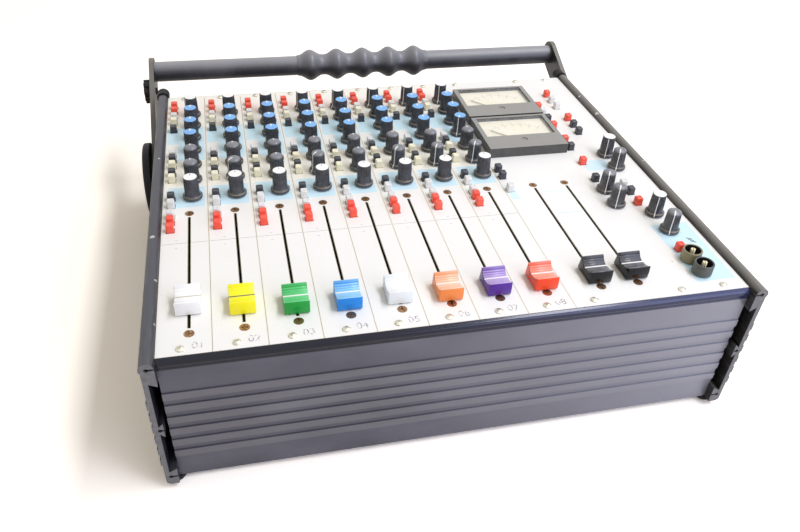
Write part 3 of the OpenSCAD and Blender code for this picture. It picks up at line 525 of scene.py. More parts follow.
# %% The panels' print
CYAN = "#d0edf6"
CREAM = "#fbf7e8"
LINE = "#ece6d2"
DOT = "#9a9a94"
strip_fields = [
    (CREAM, 0.5, (0.4, STRIP - 0.4), (257, DEPTH)),
    (CYAN, 1.0, (1.2, STRIP - 1.2), (231, 257)),
    (CYAN, 1.0, (9.5, STRIP - 1.2), (205, 231)),
    (CREAM, 0.9, (1.2, STRIP - 1.2), (167, 205)),
    (CYAN, 1.0, (3.5, STRIP - 2), (142, 167.5)),
    ("#8f8f8a", 0.8, (0, STRIP), (100.8, 101.15)),
    (DOT, 0.7, (9.0, 10.4), (95.7, 96.2)),
    (DOT, 0.7, (9.0, 10.4), (103.9, 104.4)),
    (LINE, 0.9, (0, 0.55), (0, DEPTH)),
    (LINE, 0.9, (STRIP - 0.55, STRIP), (0, DEPTH)),
    ("#77756c", 0.7, (0, STRIP), (DEPTH - 0.6, DEPTH)),
]
master_fields = [
    (CYAN, 1.0, (86, 113), (10, 72)),
    (CYAN, 0.9, (73, 93), (147, 162)),
    (CYAN, 0.8, (1.5, 8), (118, 137)),
    (CYAN, 0.8, (26, 44), (123.6, 124.3)),
    ("#9fd3df", 0.8, (27, 45), (96, 96.4)),
    ("#8a7f55", 0.9, (80, 80.8), (31.6, 32.4)),
    (LINE, 0.7, (0, 0.5), (0, DEPTH)),
]
strip_print = finish("baked_paint_with_strip_print", printed, strip_fields, STRIP, STRIP)
master_print = finish("baked_paint_with_master_print", printed, master_fields, 0,
                      WIDTH - MASTER, MASTER)
print(len(strip_fields), "printed fields on a strip,", len(master_fields), "on the master")

# %% [markdown]
# The small moulded parts are thermoplastic. A mould with a fine spark finish leaves a faint
# grain, and the surface is otherwise plain, so the colour, the roughness, the share of
# mirrored light and the grain tell one plastic from another. Some have a paler tone on top,
# a painted highlight where the light from above falls. On the meter cases that tone also
# stands for dust.

# %% Moulded plastics
def moulded(tree, place, tone, second, roughness=0.42, depth=0.01, shine=0.5, top=None,
            cover=0.5):
    """Plain plastic with 0.5 mm grain, drifting between two tones over 6 mm, and partly
    covered on top by another tone, a painted highlight where the light from above falls."""
    share = blotches(tree, place, 6, 0.35, 0.7, detail=3.0)
    colour = add(tree, "Mix", share, tone, second)
    if top:
        # Painted highlight: a paler tone where the surface faces up.
        colour = add(tree, "Mix", facing_up(tree, 0.3, 0.9, cover), colour, top)
    return dict(Base_Color=colour, Roughness=roughness, Specular_IOR_Level=shine,
                Normal=bumps(tree, place, 0.5, depth, 0.6))


plastics = {name: finish(name, moulded, *look) for name, look in {
    # two tones, roughness, depth of the grain, shine, painted highlight on top
    "moulded_phenolic_black": ("#34363c", "#4a4d53", 0.23, 0.01, 0.6),
    "worn_skirt_edge": ("#7d7361", "#5a5348", 0.5),
    "moulded_cap_blue": ("#388ce2", "#5aa8ec", 0.3, 0.005, 0.5, "#9accf4"),
    "moulded_cap_white": ("#fbfbf8", "#f4f3ee", 0.35, 0.005),
    "moulded_cap_grey": ("#5c5d61", "#6e6f73", 0.28, 0.005, 0.5, "#94959a"),
    "pointer_paint_white": ("#f4f3ee", "#eeede8", 0.45, 0.003),
    "pointer_paint_dark": ("#2e2c28", "#383632", 0.45, 0.003),
    "moulded_button_red": ("#f5503c", "#f7634a", 0.3, 0.006),
    "moulded_button_pale": ("#dcdcd8", "#e6e6e2", 0.33, 0.006),
    "moulded_button_cream": ("#f6f0cf", "#f7f3da", 0.33, 0.006),
    "moulded_button_black": ("#34363c", "#404248", 0.32, 0.006),
    "moulded_meter_case": ("#464645", "#525250", 0.45, 0.02, 0.5, "#bfbcb3"),
    "moulded_matt_black": ("#141416", "#1d1d1f", 0.5, 0.01, 0.25),
    "moulded_spindle_cream": ("#e9dcb0", "#f0e8c8", 0.4, 0.005),
    "moulded_collar_olive": ("#8f8868", "#7b7455", 0.38),
    "moulded_collar_dark": ("#474c47", "#555a54", 0.36),
    "pointer_paint_pale": ("#cdc6b4", "#c4bda9", 0.45, 0.003),
    "moulded_fader_cap_black": ("#0a0a0e", "#101116", 0.16, 0.004, 0.28, "#8a8b90"),
}.items()}
(knob_plastic, skirt_ring, cap_blue, cap_white, cap_grey, pointer_white, pointer_dark,
 button_red, button_pale, button_cream, button_black, case_plastic, cap_plastic,
 spindle_plastic, rear_collar, front_collar, cap_line_pale,
 master_plastic) = plastics.values()
# Each cap's top tint is paler than its sides: a painted highlight where the light from above
# falls.
FADER_TINTS = [  # sides and front, top
    ("#f4f4f3", "#fdfdfb"), ("#fbf012", "#fdf93a"), ("#089a38", "#6fd78b"),
    ("#0e84dc", "#a4dcf8"), ("#e8eeef", "#f8fafa"), ("#f28a44", "#fcd6ba"),
    ("#4e1c90", "#cab4e4"), ("#f24416", "#fdb098"),
]
fader_plastics = [
    finish(f"moulded_fader_cap_{i + 1}", moulded, side, side, 0.24, 0.004, 0.4, top, 0.8)
    for i, (side, top) in enumerate(FADER_TINTS)
]
print(len(bpy.data.materials), "materials so far")

# %% [markdown]
# ## Knobs
# A knob is moulded in one piece: a skirt with a rubbed edge, a neck that sweeps up into a
# tapered body, and fine flutes for the fingers. Turning a profile about an axis would
# give a smooth knob, so the radius also depends on the angle: along the body a cosine
# with 24 waves is taken off it, and it fades in above the neck and out below the top.

# %% The knob's shape
knob_lo, knob_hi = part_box("level_knob_1")
SKIRT_R = (knob_hi.x - knob_lo.x) / 2 / MM
KNOB_H = (knob_hi.z - TOP) / MM - 0.06  # leaves room for the pointer's paint
TOP_R = 4.75
BODY_R = 5.15
NECK_R = 5.75
NECK_LOW, NECK_RISE = 3.15, 3.0
FLUTES, FLUTE_DEPTH = 24, 0.34
DOME_RISE = 1.9
BODY, RING, CAP, POINTER = range(4)


def dome(a):
    """Points (r, height above its foot) of the domed cap at angles a: a quarter ellipse
    that is a little squared, r = top cos(a)^0.75 and height = rise sin(a)."""
    return TOP_R * np.cos(a) ** 0.75, DOME_RISE * np.sin(a)


def knob_profile(domed):
    """Rows of (radius, height, flute depth, material) from the underside of the skirt
    to the cap. The neck follows r = body + (neck - body)(1 - t)^2.2, and the cap is a
    dome or a disc inside a thin rim."""
    rows = [
        (SKIRT_R - 0.5, 0.8, 0, BODY), (SKIRT_R, 1.05, 0, BODY), (SKIRT_R, 2.45, 0, BODY),
        (SKIRT_R - 0.1, 2.6, 0, RING), (SKIRT_R - 0.6, 3.05, 0, RING),
        (SKIRT_R - 0.85, 3.1, 0, BODY),
    ]
    for t in np.linspace(0, 1, 6):
        rows.append((BODY_R + (NECK_R - BODY_R) * (1 - t) ** 2.2, NECK_LOW + NECK_RISE * t,
                     0, BODY))
    start, end = NECK_LOW + NECK_RISE, KNOB_H - (2.0 if domed else 0.5)
    for t in np.linspace(0.12, 1, 7):
        depth = FLUTE_DEPTH * min(1, 5 * (t - 0.12)) * min(1, 0.25 + 4 * (1 - t))
        rows.append((BODY_R + (TOP_R - BODY_R) * t, start + (end - start) * t, depth, BODY))
    if domed:
        for a in np.linspace(0, 0.5 * math.pi, 7)[:-1]:
            radius, height = dome(a)
            rows.append((radius, end + 0.05 + height, 0, CAP))
    else:
        rows += [
            (TOP_R - 0.05, KNOB_H - 0.3, 0, BODY), (TOP_R - 0.2, KNOB_H - 0.12, 0, BODY),
            (TOP_R - 0.28, KNOB_H - 0.12, 0, CAP), (TOP_R - 0.34, KNOB_H - 0.02, 0, CAP),
            (TOP_R - 0.5, KNOB_H, 0, CAP), (TOP_R * 0.4, KNOB_H, 0, CAP),
        ]
    return np.array(rows)


def fluted(radius, height, depth, waves):
    """Rings about the Z axis with four points to a wave. At the angle a the radius is
    less by depth (1 - cos(waves a)) / 2."""
    a = np.linspace(0, 2 * math.pi, 4 * waves, endpoint=False)
    out = radius[:, None] - depth[:, None] * (0.5 - 0.5 * np.cos(waves * a))
    height = np.broadcast_to(height[:, None], out.shape)
    return np.stack([out * np.cos(a), out * np.sin(a), height], -1) * MM


def sideways(outline, x):
    """An outline in Y and Z as a ring at x."""
    return np.column_stack([np.full(len(outline), x), outline])


def strip_along(path, width, slot, lift=0.05):
    """A thin painted line on a surface: a strip along (y, z) points, lifted off it along
    the normal, with its width along X."""
    step = np.gradient(path, axis=0)
    step /= np.linalg.norm(step, axis=1)[:, None]
    normal = np.stack([step[:, 1], -step[:, 0]], -1)
    rings = [sideways(path + n * lift * normal, x * width / 2)
             for x, n in ((1, -1.5), (1, 1), (-1, 1), (-1, -1.5))]
    return closed_tube(np.stack(rings, 1) * MM, slot, (slot, slot))


def knob(domed, side_line=True, cap_line=POINTER):
    """The knob in metres with its middle at the origin, its pointer towards +Y. The
    pointer runs up the side and over the cap, or is a short tick on the cap."""
    rows = knob_profile(domed)
    parts = [closed_tube(fluted(*rows.T[:3], FLUTES), rows[:-1, 3].astype(int), (BODY, CAP))]
    if side_line:
        line = rows[1:-1 if not domed else None, :2]
        parts.append(strip_along(line[line[:, 1] < KNOB_H - 0.3], 0.6, POINTER))
    if domed:
        radius, height = dome(np.linspace(0.15, 0.5 * math.pi - 0.12, 6))
        top = np.stack([radius, KNOB_H - 0.05 - DOME_RISE + height], -1)
    else:
        reach = (TOP_R - 0.45, 0.9) if side_line else (3.1, 1.9)
        top = np.stack([np.linspace(*reach, 3), np.full(3, KNOB_H)], -1)
    parts.append(strip_along(top, 0.95 if side_line else 0.5, cap_line))
    return join(parts)


print(f"skirt {2 * SKIRT_R:.1f} mm across, knob {KNOB_H:.1f} mm high")

# %% [markdown]
# The rear row of each strip has white caps, the next three rows blue ones, and the two
# before them grey domes. Each knob's pointer is set as it stood when the console was put
# away, given as the hour that it points to.

# %% Knobs on the strips
def hours(values):
    """Clock hours to clockwise angles from twelve o'clock."""
    return np.radians(30.0 * np.asarray(values, float))


gain_hours = [8, 12, 12, 8, 8, 7.5, 7.5, 7]
tone_hours = np.full((3, CHANNELS), 12.0)
tone_hours[2, 7] = 7
aux_hours = [[12.0] * CHANNELS, [12, 8, 12, 8, 12, 7.5, 7, 7]]
for name, part, rows, at, cap in (
    ("gain_knobs", knob(False, cap_line=CAP), slice(0, 1), gain_hours, cap_white),
    ("tone_knobs", knob(False), slice(1, 4), tone_hours, cap_blue),
    ("aux_knobs", knob(True), slice(4, 6), aux_hours, cap_grey),
):
    places = knob_spots[:, rows].transpose(1, 0, 2).reshape(-1, 3)
    piece(name, "case", copies(part, places, hours(at).ravel()),
          [knob_plastic, skirt_ring, cap, pointer_white], ["channel_knobs"], 50)

# %% [markdown]
# The level knobs and the master knobs turn, so each is a piece of its own and rides on
# its own body. The level knobs have a white cap with a dark tick.

# %% Knobs that turn
level_nodes = [f"level_knob_{i}" for i in range(1, CHANNELS + 1)]
master_nodes = [f"master_knob_{i}" for i in range(1, 7)]
for i, node in enumerate(level_nodes):
    part = copies(knob(False, side_line=False), controls(node))
    piece(f"level_cap_{i + 1}", node, part,
          [knob_plastic, skirt_ring, cap_white, pointer_dark], [node], 50)
for i, node in enumerate(master_nodes):
    flat = i in (0, 4)
    part = copies(knob(not flat, cap_line=CAP if flat else POINTER), controls(node),
                  hours([7.0]))
    piece(f"master_cap_{i + 1}", node, part,
          [knob_plastic, skirt_ring, cap_white if flat else cap_grey, pointer_white],
          [node], 50)

# %% [markdown]
# ## Push buttons
# Each button is a small square cap with rounded corners and a top that is a little
# hollow, so that a finger finds its middle. Its section is a rounded square: four
# quarter circles joined by straight sides. Rings of that section, drawn in at the top,
# make the cap.

# %% Buttons
BUTTON_SHARE = 0.87  # the cap's height above the panel, as a share of the frame's
button_lo, button_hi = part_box("red_buttons")
BUTTON_H = (button_hi.z - TOP) / MM * BUTTON_SHARE
BUTTON_FOOT = (button_lo.z - TOP) / MM
BUTTON_HALF = 2.5


def raised(outline, z):
    """An outline in X and Y as a ring at height z."""
    return np.column_stack([outline, np.full(len(outline), z)])


def arc(x, y, radius, start, stop, count):
    """Points on a circle about (x, y) between two angles in degrees."""
    a = np.radians(np.linspace(start, stop, count))
    return np.stack([x + radius * np.cos(a), y + radius * np.sin(a)], -1)


def rounded_square(half, radius, corner=5):
    """Points round a square of the given half width whose corners are quarter circles."""
    quarter = arc(half - radius, half - radius, radius, 0, 90, corner)
    return np.concatenate([quarter @ np.array([[c, s], [-s, c]])
                           for c, s in ((1, 0), (0, 1), (-1, 0), (0, -1))])


def button():
    """Rounded square rings from the foot to the hollow top."""
    rows = [
        (0.0, BUTTON_FOOT), (0.0, 0.0), (0.04, BUTTON_H - 0.9), (0.16, BUTTON_H - 0.45),
        (0.42, BUTTON_H - 0.12), (0.75, BUTTON_H), (1.1, BUTTON_H - 0.1),
        (1.7, BUTTON_H - 0.25),
    ]
    halves = [(BUTTON_HALF - inset, z) for inset, z in rows]
    rings = [raised(rounded_square(half, min(0.7, half * 0.5)), z) for half, z in halves]
    return closed_tube(np.array(rings) * MM)


button_part = button()
for colour, material in (("red", button_red), ("black", button_black)):
    node = f"{colour}_buttons"
    piece(f"{colour}_button_caps", node, copies(button_part, controls(node)),
          [material], [node], 60)

# %% [markdown]
# The pale buttons come in two tints of the same moulding, light grey and cream. They are
# told apart by their rows along the panel.

# %% Pale buttons in two tints
CREAM_ROWS = (265, 196, 177)
pale = controls("pale_buttons")
rows_mm = off_panel(pale)
creamy = np.zeros(len(pale), bool)
for row in CREAM_ROWS:
    creamy |= (np.abs(rows_mm[:, 1] - row) < 3) & (rows_mm[:, 0] < MASTER)
for name, chosen, material in (
    ("pale_button_caps", ~creamy, button_pale), ("cream_button_caps", creamy, button_cream)
):
    piece(name, "pale_buttons", copies(button_part, pale[chosen]),
          [material], ["pale_buttons"], 60)

# %% [markdown]
# ## Fader caps
# A fader cap is the same shape all along its width: two lips with a saddle between them
# for the fingertip, ridges on the saddle's rear half and an index line at its lowest
# point. So its side view is drawn once as an outline in Y and Z, and repeated across the
# width, pulled in a little at both ends for the rounded edges.

# %% The cap's outline
fader_lo, fader_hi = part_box("fader_1")
BULGE_ROOM = 0.3  # what the cap's length leaves for its bulging front
CAP_W = (fader_hi.x - fader_lo.x) / MM
CAP_L = (fader_hi.y - fader_lo.y) / MM - BULGE_ROOM
CAP_TOP = (fader_hi.z - TOP) / MM
CAP_LIFT = 0.7
REAR_LIP = CAP_L / 2 - 2.6
FRONT_LIP = CAP_L / 2 - 0.6
SAG = 3.8
FRONT_DROP = 0.9
GROOVES, GROOVE_DEPTH = (1.5, 2.7, 3.9, 5.1), 0.35


def cap_outline():
    """The cap from the side, anticlockwise from its front lower corner. The saddle is two
    arcs that meet on the index line, z = bottom + R - sqrt(R^2 - y^2), where a lip at y
    that rises by h needs R = (y^2 + h^2) / 2h. Each ridge's groove is a parabola."""
    half = CAP_L / 2
    y = np.linspace(REAR_LIP - 0.3, -FRONT_LIP + 0.5, 97)
    lip = np.where(y > 0, REAR_LIP - 0.2, FRONT_LIP)
    rise = np.where(y > 0, SAG, SAG - FRONT_DROP)
    radius = (lip ** 2 + rise ** 2) / (2 * rise)
    saddle = CAP_TOP - SAG + radius - np.sqrt(radius ** 2 - y ** 2)
    for groove in GROOVES:
        saddle -= GROOVE_DEPTH * np.clip(1 - ((y - groove) / 0.4) ** 2, 0, 1)
    return np.concatenate([
        arc(-half + 0.5, CAP_LIFT + 0.5, 0.5, 200, 270, 4),
        arc(half - 0.5, CAP_LIFT + 0.5, 0.5, 270, 350, 4),
        arc(REAR_LIP, CAP_TOP - 0.8, 0.8, 20, 100, 7),
        np.stack([y, saddle], -1),
        arc(-FRONT_LIP, CAP_TOP - FRONT_DROP - 0.45, 0.45, 80, 170, 6),
        [[-half - 0.2, CAP_LIFT + (CAP_TOP - CAP_LIFT) * 0.5]],
    ])


def pulled_in(outline, inset):
    """The outline moved inwards along its normals by the inset."""
    step = np.roll(outline, -1, 0) - np.roll(outline, 1, 0)
    step /= np.linalg.norm(step, axis=1)[:, None]
    return outline - inset * np.stack([step[:, 1], -step[:, 0]], -1)


# %% The cap and its blade
BLADE = np.array([[0.6, -2.5], [0.6, 2.5], [-0.6, 2.5], [-0.6, -2.5]])
BLADE_SPAN = (-12.0, 3.0)


def fader_cap():
    """The outline repeated across the width, with rounded ends, and a flat blade that
    reaches down through the slot. Quads on the index line have material 1, and the blade
    has 2."""
    outline = cap_outline()
    half = CAP_W / 2
    rings = [sideways(pulled_in(outline, inset), x) for x, inset in (
        (-half, 0.4), (-half + 0.12, 0.14), (-half + 0.4, 0.0),
        (half - 0.4, 0.0), (half - 0.12, 0.14), (half, 0.4))]
    following = np.roll(outline, -1, 0)
    on_line = (np.abs((outline + following)[:, 0] / 2) < 0.5) & (outline[:, 1] > 4)
    slots = np.broadcast_to(on_line.astype(int), (len(rings) - 1, len(outline)))
    hubs = np.array([(x, 0.0, CAP_LIFT + 2.0) for x in (-half, half)])
    stem = [raised(BLADE, z) for z in BLADE_SPAN]
    return join([closed_tube(np.array(rings) * MM, slots, hubs=hubs * MM),
                 closed_tube(np.array(stem) * MM, 2, (2, 2))])


cap_part = fader_cap()
lines = [cap_line_pale, skirt_ring] + [pointer_white] * 6
faders = [(f"fader_{i + 1}", plastic, line)
          for i, (plastic, line) in enumerate(zip(fader_plastics, lines))]
faders += [(f"master_fader_{side}", master_plastic, pointer_white)
           for side in ("left", "right")]
for node, plastic, line in faders:
    lo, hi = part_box(node)
    middle = [(lo.x + hi.x) / 2, (lo.y + hi.y) / 2 + BULGE_ROOM / 2 * MM, TOP]
    piece(f"{node}_cap", node, copies(cap_part, middle),
          [plastic, line, cap_plastic], [node], 35)

# %% [markdown]
# ## Two-part controls
# Next to the front right corner stand two controls whose knobs are gone: an outer collar
# like a cup, and inside it a split plastic spindle. The collar is a knob profile that
# goes up outside, over the rim and down inside. The spindle is two half-round prongs.

# %% Collars and spindles
collar_lo, collar_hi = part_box("rear_collar_knob")
COLLAR_R = (collar_hi.x - collar_lo.x) / 2 / MM
COLLAR_H = (collar_hi.z - TOP) / MM - 0.5  # the spindle stands higher
COLLAR_RIBS, COLLAR_RIB_DEPTH = 44, 0.16
SLOT_HALF = 0.25  # half the slot between the prongs


def collar():
    """A cup: up the ribbed outside, over the rim and down to the floor inside. Each row
    is (radius from the outside, height, share of the ribs' depth)."""
    rows = np.array([
        (-0.25, 0.8, 0), (0, 1.0, 0), (0, 1.7, 0), (0, 2.0, 1), (-0.03, 7.6, 1),
        (-0.03, 7.9, 0), (-0.1, COLLAR_H - 0.2, 0), (-0.3, COLLAR_H, 0),
        (-1.0, COLLAR_H, 0), (-1.2, COLLAR_H - 0.2, 0), (-1.25, 8.2, 0), (-1.25, 3.0, 0),
        (-1.55, 2.85, 0), (2.4 - COLLAR_R, 2.8, 0),
    ])
    rings = fluted(rows[:, 0] + COLLAR_R, rows[:, 1], COLLAR_RIB_DEPTH * rows[:, 2],
                   COLLAR_RIBS)
    return closed_tube(rings, np.where(np.arange(len(rows) - 1) < 9, 0, 2), (0, 2))


def prong():
    """Half of a split spindle: a half circle cut off by the slot, with a flat tip."""
    rings = []
    for radius, z in ((1.5, 2.6), (1.5, COLLAR_H + 0.35), (1.4, COLLAR_H + 0.45)):
        start = math.asin(SLOT_HALF / radius)
        a = np.linspace(-0.5 * math.pi + start, 0.5 * math.pi - start, 13)
        outline = radius * np.stack([np.cos(a), np.sin(a)], -1)
        rings.append(raised(np.maximum(outline, [SLOT_HALF, -radius]), z))
    return closed_tube(np.array(rings) * MM, 1, (1, 1))


for end, material in (("rear", rear_collar), ("front", front_collar)):
    node = f"{end}_collar_knob"
    middle = controls(node)
    prongs = copies(prong(), np.repeat(middle, 2, 0), [0.35, 0.35 + math.pi])
    piece(f"{end}_collar", node, join([copies(collar(), middle), prongs]),
          [material, spindle_plastic, cap_plastic], [node], 45)

# %% [markdown]
# ## The grip
# The carry handle's grip is a rubber sleeve with five swellings that fit between the
# fingers. Its radius along the tube is r = valley + (peak - valley) ((1 - cos a) / 2)^1.25
# where a goes once round for each swelling, and the sleeve is that profile turned about
# the tube's axis.

# %% The grip's shape
grip_lo, grip_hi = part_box("handle_grip")
tube_lo, tube_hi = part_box("handle_tube")
GRIP_PEAK = (grip_hi.z - grip_lo.z) / 2 / MM
TUBE_R = (tube_hi.z - tube_lo.z) / 2 / MM
GRIP_VALLEY = TUBE_R + 0.55
SWELLINGS = 5
GRIP_SIDES = 64


def grip():
    """Rings along X about the tube's axis, from one end of the sleeve to the other."""
    along = np.linspace(0, 1, SWELLINGS * 26 + 1)
    swell = ((1 - np.cos(2 * math.pi * SWELLINGS * along)) / 2) ** 1.25
    radius = GRIP_VALLEY + (GRIP_PEAK - GRIP_VALLEY) * swell
    radius[[0, -1]] -= 0.25
    x = grip_lo.x + (grip_hi.x - grip_lo.x) * along
    y, z = (tube_lo.y + tube_hi.y) / 2, (tube_lo.z + tube_hi.z) / 2
    a = np.linspace(0, 2 * math.pi, GRIP_SIDES, endpoint=False)
    rings = np.stack([
        np.broadcast_to(x[:, None], (len(x), GRIP_SIDES)),
        y + radius[:, None] * MM * np.cos(a), z + radius[:, None] * MM * np.sin(a),
    ], -1)
    return closed_tube(rings)


print(f"grip {2 * GRIP_PEAK:.1f} mm over its swellings, tube {2 * TUBE_R:.1f} mm")

# %% [markdown]
# ## Metal fittings and the rest
# The fader screws are copper plated and have gone dull, and the panel screws are nickel
# plated. Both are metals, so the colour is the reflection's colour, and a little noise in
# the roughness stands for tarnish. The same function gives the black screws of the case
# and the pressed steel of the fader tracks. Rubber, card, lacquered board and the clear
# windows follow, each from its own typical roughness.

# %% Plated metals
def plated(tree, place, tone, tarnish, roughness=0.34):
    """Metal whose colour and roughness drift with tarnish in 1.4 mm patches."""
    dull = blotches(tree, place, 1.4, 0.42, 0.66, detail=3.0)
    return dict(
        Base_Color=add(tree, "Mix", dull, tone, tarnish),
        Metallic=1.0,
        Roughness=add(tree, "MapRange", dull, To_Min=roughness, To_Max=roughness + 0.18),
    )


# %% Rubber, board, card and window
def rubber(tree, place):
    """Moulded rubber: dark, a little shiny from hands, with a fine 0.9 mm grain and a greyer
    top that is partly dust and partly a painted highlight."""
    patches = add(tree, "TexNoise", place, per_mm(8), 3.0)
    colour = add(tree, "Mix", patches, "#3c3c40", "#4c4c51")
    # Dust and a painted highlight on the upper side.
    return dict(
        Base_Color=add(tree, "Mix", facing_up(tree, 0.0, 0.9, 0.5), colour, "#a4a4a8"),
        Roughness=0.36,
        Normal=bumps(tree, place, 0.9, 0.02, 0.5),
    )


def two_tone(tree, place, size, tone, second, roughness):
    """Two tones in blobs of a size in millimetres: the weave of a glass fibre board under
    its lacquer, or the yellowing of a printed card."""
    blobs = add(tree, "TexNoise", place, per_mm(size))
    return dict(Base_Color=add(tree, "Mix", blobs, tone, second), Roughness=roughness)


def window(tree, place):
    """Clear acrylic: almost all light passes, less where fine scratches make a haze."""
    haze = add(tree, "TexNoise", place, per_mm(12), 3.0)
    haze = add(tree, "MapRange", haze, From_Min=0.35, From_Max=0.75, To_Min=0.05,
               To_Max=0.12)
    return dict(Base_Color="#f4f6f6", Roughness=0.08, Alpha=haze)


# %% Finishes of the frame's own nodes
grip_rubber = finish("moulded_rubber_grip", rubber)
node_finishes = {
    "left_side_rail": shaded_rail, "right_side_rail": lit_rail_paint,
    "left_handle_arm": lit_rail_paint, "right_handle_arm": lit_rail_paint,
    "handle_tube": painted_tube, "rail_end_caps": cap_plastic,
    "front_panel": front_metal, "rear_panel": rear_metal, "base_plate": rear_metal,
    "channel_plates": strip_print, "master_plate": master_print,
    "meter_cases": case_plastic, "push_switches": case_plastic,
    "clamp_knob": cap_plastic, "pivot_discs": cap_plastic,
    "rubber_feet": cap_plastic,
    "meter_windows": finish("clear_acrylic_window", window),
    "meter_dials": finish("printed_dial_card", two_tone, 30, "#faf6e6", "#f3ebcf", 0.55),
    "circuit_boards": finish("glass_fibre_board", two_tone, 0.8, "#2a6337", "#3f7f4d", 0.35),
    "potentiometers": finish("moulded_potentiometer_body", moulded, "#3d6b4a", "#33603f"),
    "fader_screws": finish("copper_plated_screw", plated, "#b8916e", "#604733"),
    "panel_screws": finish("nickel_plated_screw", plated, "#e2ded0", "#bfb9a6", 0.4),
    "case_screws": finish("black_oxide_screw", plated, "#3c3c40", "#2b2b2e", 0.4),
    "fader_tracks": finish("pressed_steel_track", plated, "#5a5c60", "#47494d", 0.4),
    "input_sockets": finish("black_plated_zinc", plated, "#3c3d42", "#303136", 0.38),
    "rear_meter_needle": finish("painted_needle", moulded, "#b8b19c", "#aaa38f", 0.5, 0.002),
}
node_finishes["output_plugs"] = node_finishes["input_sockets"]
node_finishes["front_meter_needle"] = node_finishes["rear_meter_needle"]
for node, material in node_finishes.items():
    nodes[node].data.materials.clear()
    nodes[node].data.materials.append(material)
piece("grip_sleeve", "handle", grip(), [grip_rubber], ["handle_grip"], 60)
print(len(node_finishes), "nodes of the frame have their finish")

# %% [markdown]
# ## Numbers and scales
# Each strip carries its number beside its front screw. The figures are text, turned into
# a mesh that is thin enough to pass for paint. Round each turning control there are
# eleven short printed marks from seven to five o'clock. Each meter has a scale from 1 to
# 7 on an arc about its needle's pivot.

# %% Printed figures
def worn_ink(tree, place):
    """Grey ink that has been rubbed away in 1.1 mm patches, down to the paint."""
    gone = blotches(tree, place, 1.1, 0.44, 0.58)
    return dict(Base_Color=add(tree, "Mix", gone, "#9b9ba0", "#f2f1ec"), Roughness=0.45)


number_ink = finish("screen_printed_ink_grey", worn_ink)
mark_ink = finish("screen_printed_ink_blue", moulded, "#b9dfe6", "#aed8e0", 0.5, 0.001)
scale_ink = finish("dial_ink", moulded, "#c9c1aa", "#c0b8a0", 0.5, 0.001)
FIGURE_SHARE = 0.7  # a figure's height as a share of the font's size
NUMBER_X, NUMBER_Y, NUMBER_HEIGHT = 22.5, 6.3, 5.0


def figures(text, x, y, z, height):
    """Text as a thin flat mesh, its middle at a place on the panel."""
    curve = bpy.data.curves.new("figures", "FONT")
    curve.body = text
    curve.size = height / FIGURE_SHARE * MM
    curve.align_x, curve.align_y = "CENTER", "CENTER"
    curve.extrude = 0.01 * MM
    maker = in_scene("figures", curve)
    graph = bpy.context.evaluated_depsgraph_get()
    mesh = bpy.data.meshes.new_from_object(maker.evaluated_get(graph))
    bpy.data.objects.remove(maker)
    bpy.data.curves.remove(curve)
    mesh.transform(Matrix.Translation(on_panel(x, y, z)))
    return mesh


def flat_print(name, meshes, material):
    """Joins printed meshes into one piece that rides on the case."""
    book = bmesh.new()
    for mesh in meshes:
        book.from_mesh(mesh)
        bpy.data.meshes.remove(mesh)
    joined = bpy.data.meshes.new(name)
    book.to_mesh(joined)
    book.free()
    joined.materials.append(material)
    thing = in_scene(name, joined)
    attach(thing, "case")
    print(f"{name}: {len(joined.polygons)} faces")
    return thing


strip_numbers = [figures(f"{i + 1:02d}", i * STRIP + NUMBER_X, NUMBER_Y, 0.03, NUMBER_HEIGHT)
                 for i in range(CHANNELS)]
flat_print("strip_numbers", strip_numbers, number_ink)


# %% Printed marks
def bars(rows, z=0.005, thickness=0.02):
    """Thin printed bars in millimetres. Each row is (middle, size, clockwise angle)."""
    corners = np.array([[1, -1], [1, 1], [-1, 1], [-1, -1]]) / 2
    parts = []
    for middle, size, angle in rows:
        rings = [raised(corners * size, h) for h in (0.0, thickness)]
        parts.append(copies(closed_tube(np.array(rings) * MM), on_panel(*middle, z),
                            [angle]))
    return join(parts)


def around(x, y, radius, angle):
    """The place at a radius from x and y, at an angle clockwise from the rear."""
    return x + radius * math.sin(angle), y + radius * math.cos(angle)


MARK_GAP, MARK_SIZE = 1.1, (0.3, 1.1)
mark_angles = hours(np.linspace(7, 17, 11))
turning = np.concatenate([knob_spots.reshape(-1, 3)]
                         + [controls(node) for node in level_nodes + master_nodes])
marks = [(around(x, y, SKIRT_R + MARK_GAP, angle), MARK_SIZE, angle)
         for x, y, _ in off_panel(turning) for angle in mark_angles]
piece("knob_marks", "case", bars(marks), [mark_ink])

strokes = [((MASTER + x, y), (0.8, 3.8), math.radians(118))
           for x, y in ((105.1, 53.6), (105.6, 51.7), (106.2, 49.8))]
piece("printed_strokes", "case", bars(strokes), [pointer_dark])

# %% [markdown]
# Two felt lips close each fader slot against dust, and the fader's blade slides between
# them. They are thin bars just under the plate, along both edges of the slot.

# %% Dust lips of the slots
slot_felt = finish("olive_felt", moulded, "#8d886e", "#a09a80", 0.8, 0.05, 0.1)
LIP_IN, LIP_OUT = 0.62, 1.0
slot_x = [off_panel(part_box(node)[0])[0] + CAP_W / 2 for node, _, _ in faders]
corners = off_panel(triangles("master_plate").reshape(-1, 3))
corners = corners[np.abs(np.abs(corners[:, 0] - slot_x[-1]) - LIP_OUT) < 0.01]
near_end, far_end = corners[:, 1].min(), corners[:, 1].max()
lip_size = (LIP_OUT - LIP_IN, far_end - near_end)
lips = [((x + side * (LIP_IN + LIP_OUT) / 2, (near_end + far_end) / 2), lip_size, 0.0)
        for x in slot_x for side in (-1, 1)]
piece("slot_dust_lips", "case", bars(lips, z=-0.5, thickness=0.25),
      [slot_felt])
print(f"slots from {near_end:.1f} to {far_end:.1f} mm")

